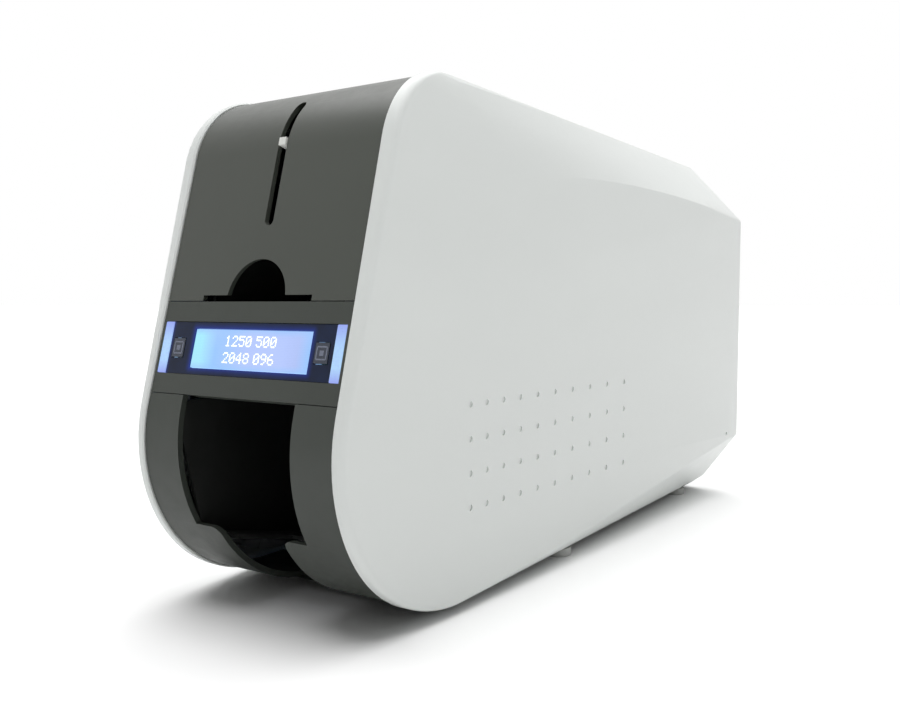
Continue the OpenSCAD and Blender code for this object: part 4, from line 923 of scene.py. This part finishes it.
def light_dome(sky, zenith):
    """World that is brighter overhead than at the horizon, and plain white where it is seen."""
    world = bpy.data.worlds.new("Studio")
    bpy.context.scene.world = world
    world.use_nodes = True
    tree = world.node_tree
    tree.nodes.clear()
    add, link = tree.nodes.new, tree.links.new
    path = add("ShaderNodeLightPath")
    seen = path.outputs["Is Camera Ray"]
    for kind in ("Is Glossy Ray", "Is Transmission Ray"):
        either = add("ShaderNodeMath")
        either.operation = "MAXIMUM"
        link(seen, either.inputs[0])
        link(path.outputs[kind], either.inputs[1])
        seen = either.outputs[0]
    point = add("ShaderNodeTexCoord")
    height = add("ShaderNodeSeparateXYZ")
    link(point.outputs["Generated"], height.inputs["Vector"])
    dome = add("ShaderNodeMapRange")
    dome.inputs["To Min"].default_value = sky
    dome.inputs["To Max"].default_value = sky + zenith
    link(height.outputs["Z"], dome.inputs["Value"])
    white = add("ShaderNodeMapRange")
    white.inputs["To Max"].default_value = 1.0
    link(dome.outputs["Result"], white.inputs["To Min"])
    link(seen, white.inputs["Value"])
    back = add("ShaderNodeBackground")
    back.inputs["Color"].default_value = (1.0, 1.0, 1.0, 1.0)
    link(white.outputs["Result"], back.inputs["Strength"])
    link(back.outputs["Background"], add("ShaderNodeOutputWorld").inputs["Surface"])


def key_light(place, strength, spread):
    """A far, broad lamp whose light falls from its place towards the middle of the floor."""
    lamp = bpy.data.lights.new("key", "SUN")
    lamp.energy = strength
    lamp.angle = spread
    key = bpy.data.objects.new("key", lamp)
    bpy.context.scene.collection.objects.link(key)
    key.location = place
    key.rotation_euler = (-Vector(place)).to_track_quat("-Z", "Y").to_euler()


def set_camera(place, to_left, dip, lens):
    """The camera that the scene is rendered with."""
    camera = bpy.data.cameras.new("camera")
    camera.sensor_width = 36.0
    camera.sensor_fit = "HORIZONTAL"
    camera.lens = lens
    camera.clip_start = 0.01
    camera.clip_end = 100.0
    view = bpy.data.objects.new("camera", camera)
    bpy.context.scene.collection.objects.link(view)
    view.location = place
    view.rotation_euler = (math.pi / 2 - dip, 0.0, to_left)
    bpy.context.scene.camera = view


class CARDPRINTER_OT_stage(Operator):
    """Set the floor, the light of the sky, the lamp and the camera"""

    bl_idname = "cardprinter.stage"
    bl_label = "Studio"

    def execute(self, context):
        s = context.scene.printer_studio
        lay_floor(floor_paint(s.floor, s.floor_seen))
        light_dome(s.sky, s.zenith)
        key_light(s.key_place, s.key, s.key_spread)
        set_camera(s.camera_place, s.camera_turn, s.camera_dip, s.lens)
        context.scene.view_settings.view_transform = "Standard"
        return {"FINISHED"}


OPERATORS = (CARDPRINTER_OT_stage, CARDPRINTER_OT_shells, CARDPRINTER_OT_strip,
             CARDPRINTER_OT_display, CARDPRINTER_OT_trays, CARDPRINTER_OT_works,
             CARDPRINTER_OT_ribbon, CARDPRINTER_OT_electrics, CARDPRINTER_OT_fasteners)


class CARDPRINTER_PT_panel(Panel):
    """Lists the printer's settings and its steps"""

    bl_idname = "CARDPRINTER_PT_panel"
    bl_label = "Card Printer"
    bl_space_type = "VIEW_3D"
    bl_region_type = "UI"
    bl_category = "Card Printer"

    def draw(self, context):
        layout = self.layout
        for name, group in SETTINGS:
            box = layout.box()
            settings = getattr(context.scene, name)
            for key in group.__annotations__:
                box.prop(settings, key)
        for operator in OPERATORS:
            layout.operator(operator.bl_idname)


def register():
    for name, group in SETTINGS:
        bpy.utils.register_class(group)
        setattr(bpy.types.Scene, name, PointerProperty(type=group))
    for cls in (*OPERATORS, CARDPRINTER_PT_panel):
        bpy.utils.register_class(cls)


def unregister():
    for cls in (CARDPRINTER_PT_panel, *reversed(OPERATORS)):
        bpy.utils.unregister_class(cls)
    for name, group in reversed(SETTINGS):
        delattr(bpy.types.Scene, name)
        bpy.utils.unregister_class(group)


def main():
    register()
    for operator in OPERATORS:
        group, name = operator.bl_idname.split(".")
        getattr(getattr(bpy.ops, group), name)()


if __name__ == "__main__":
    main()
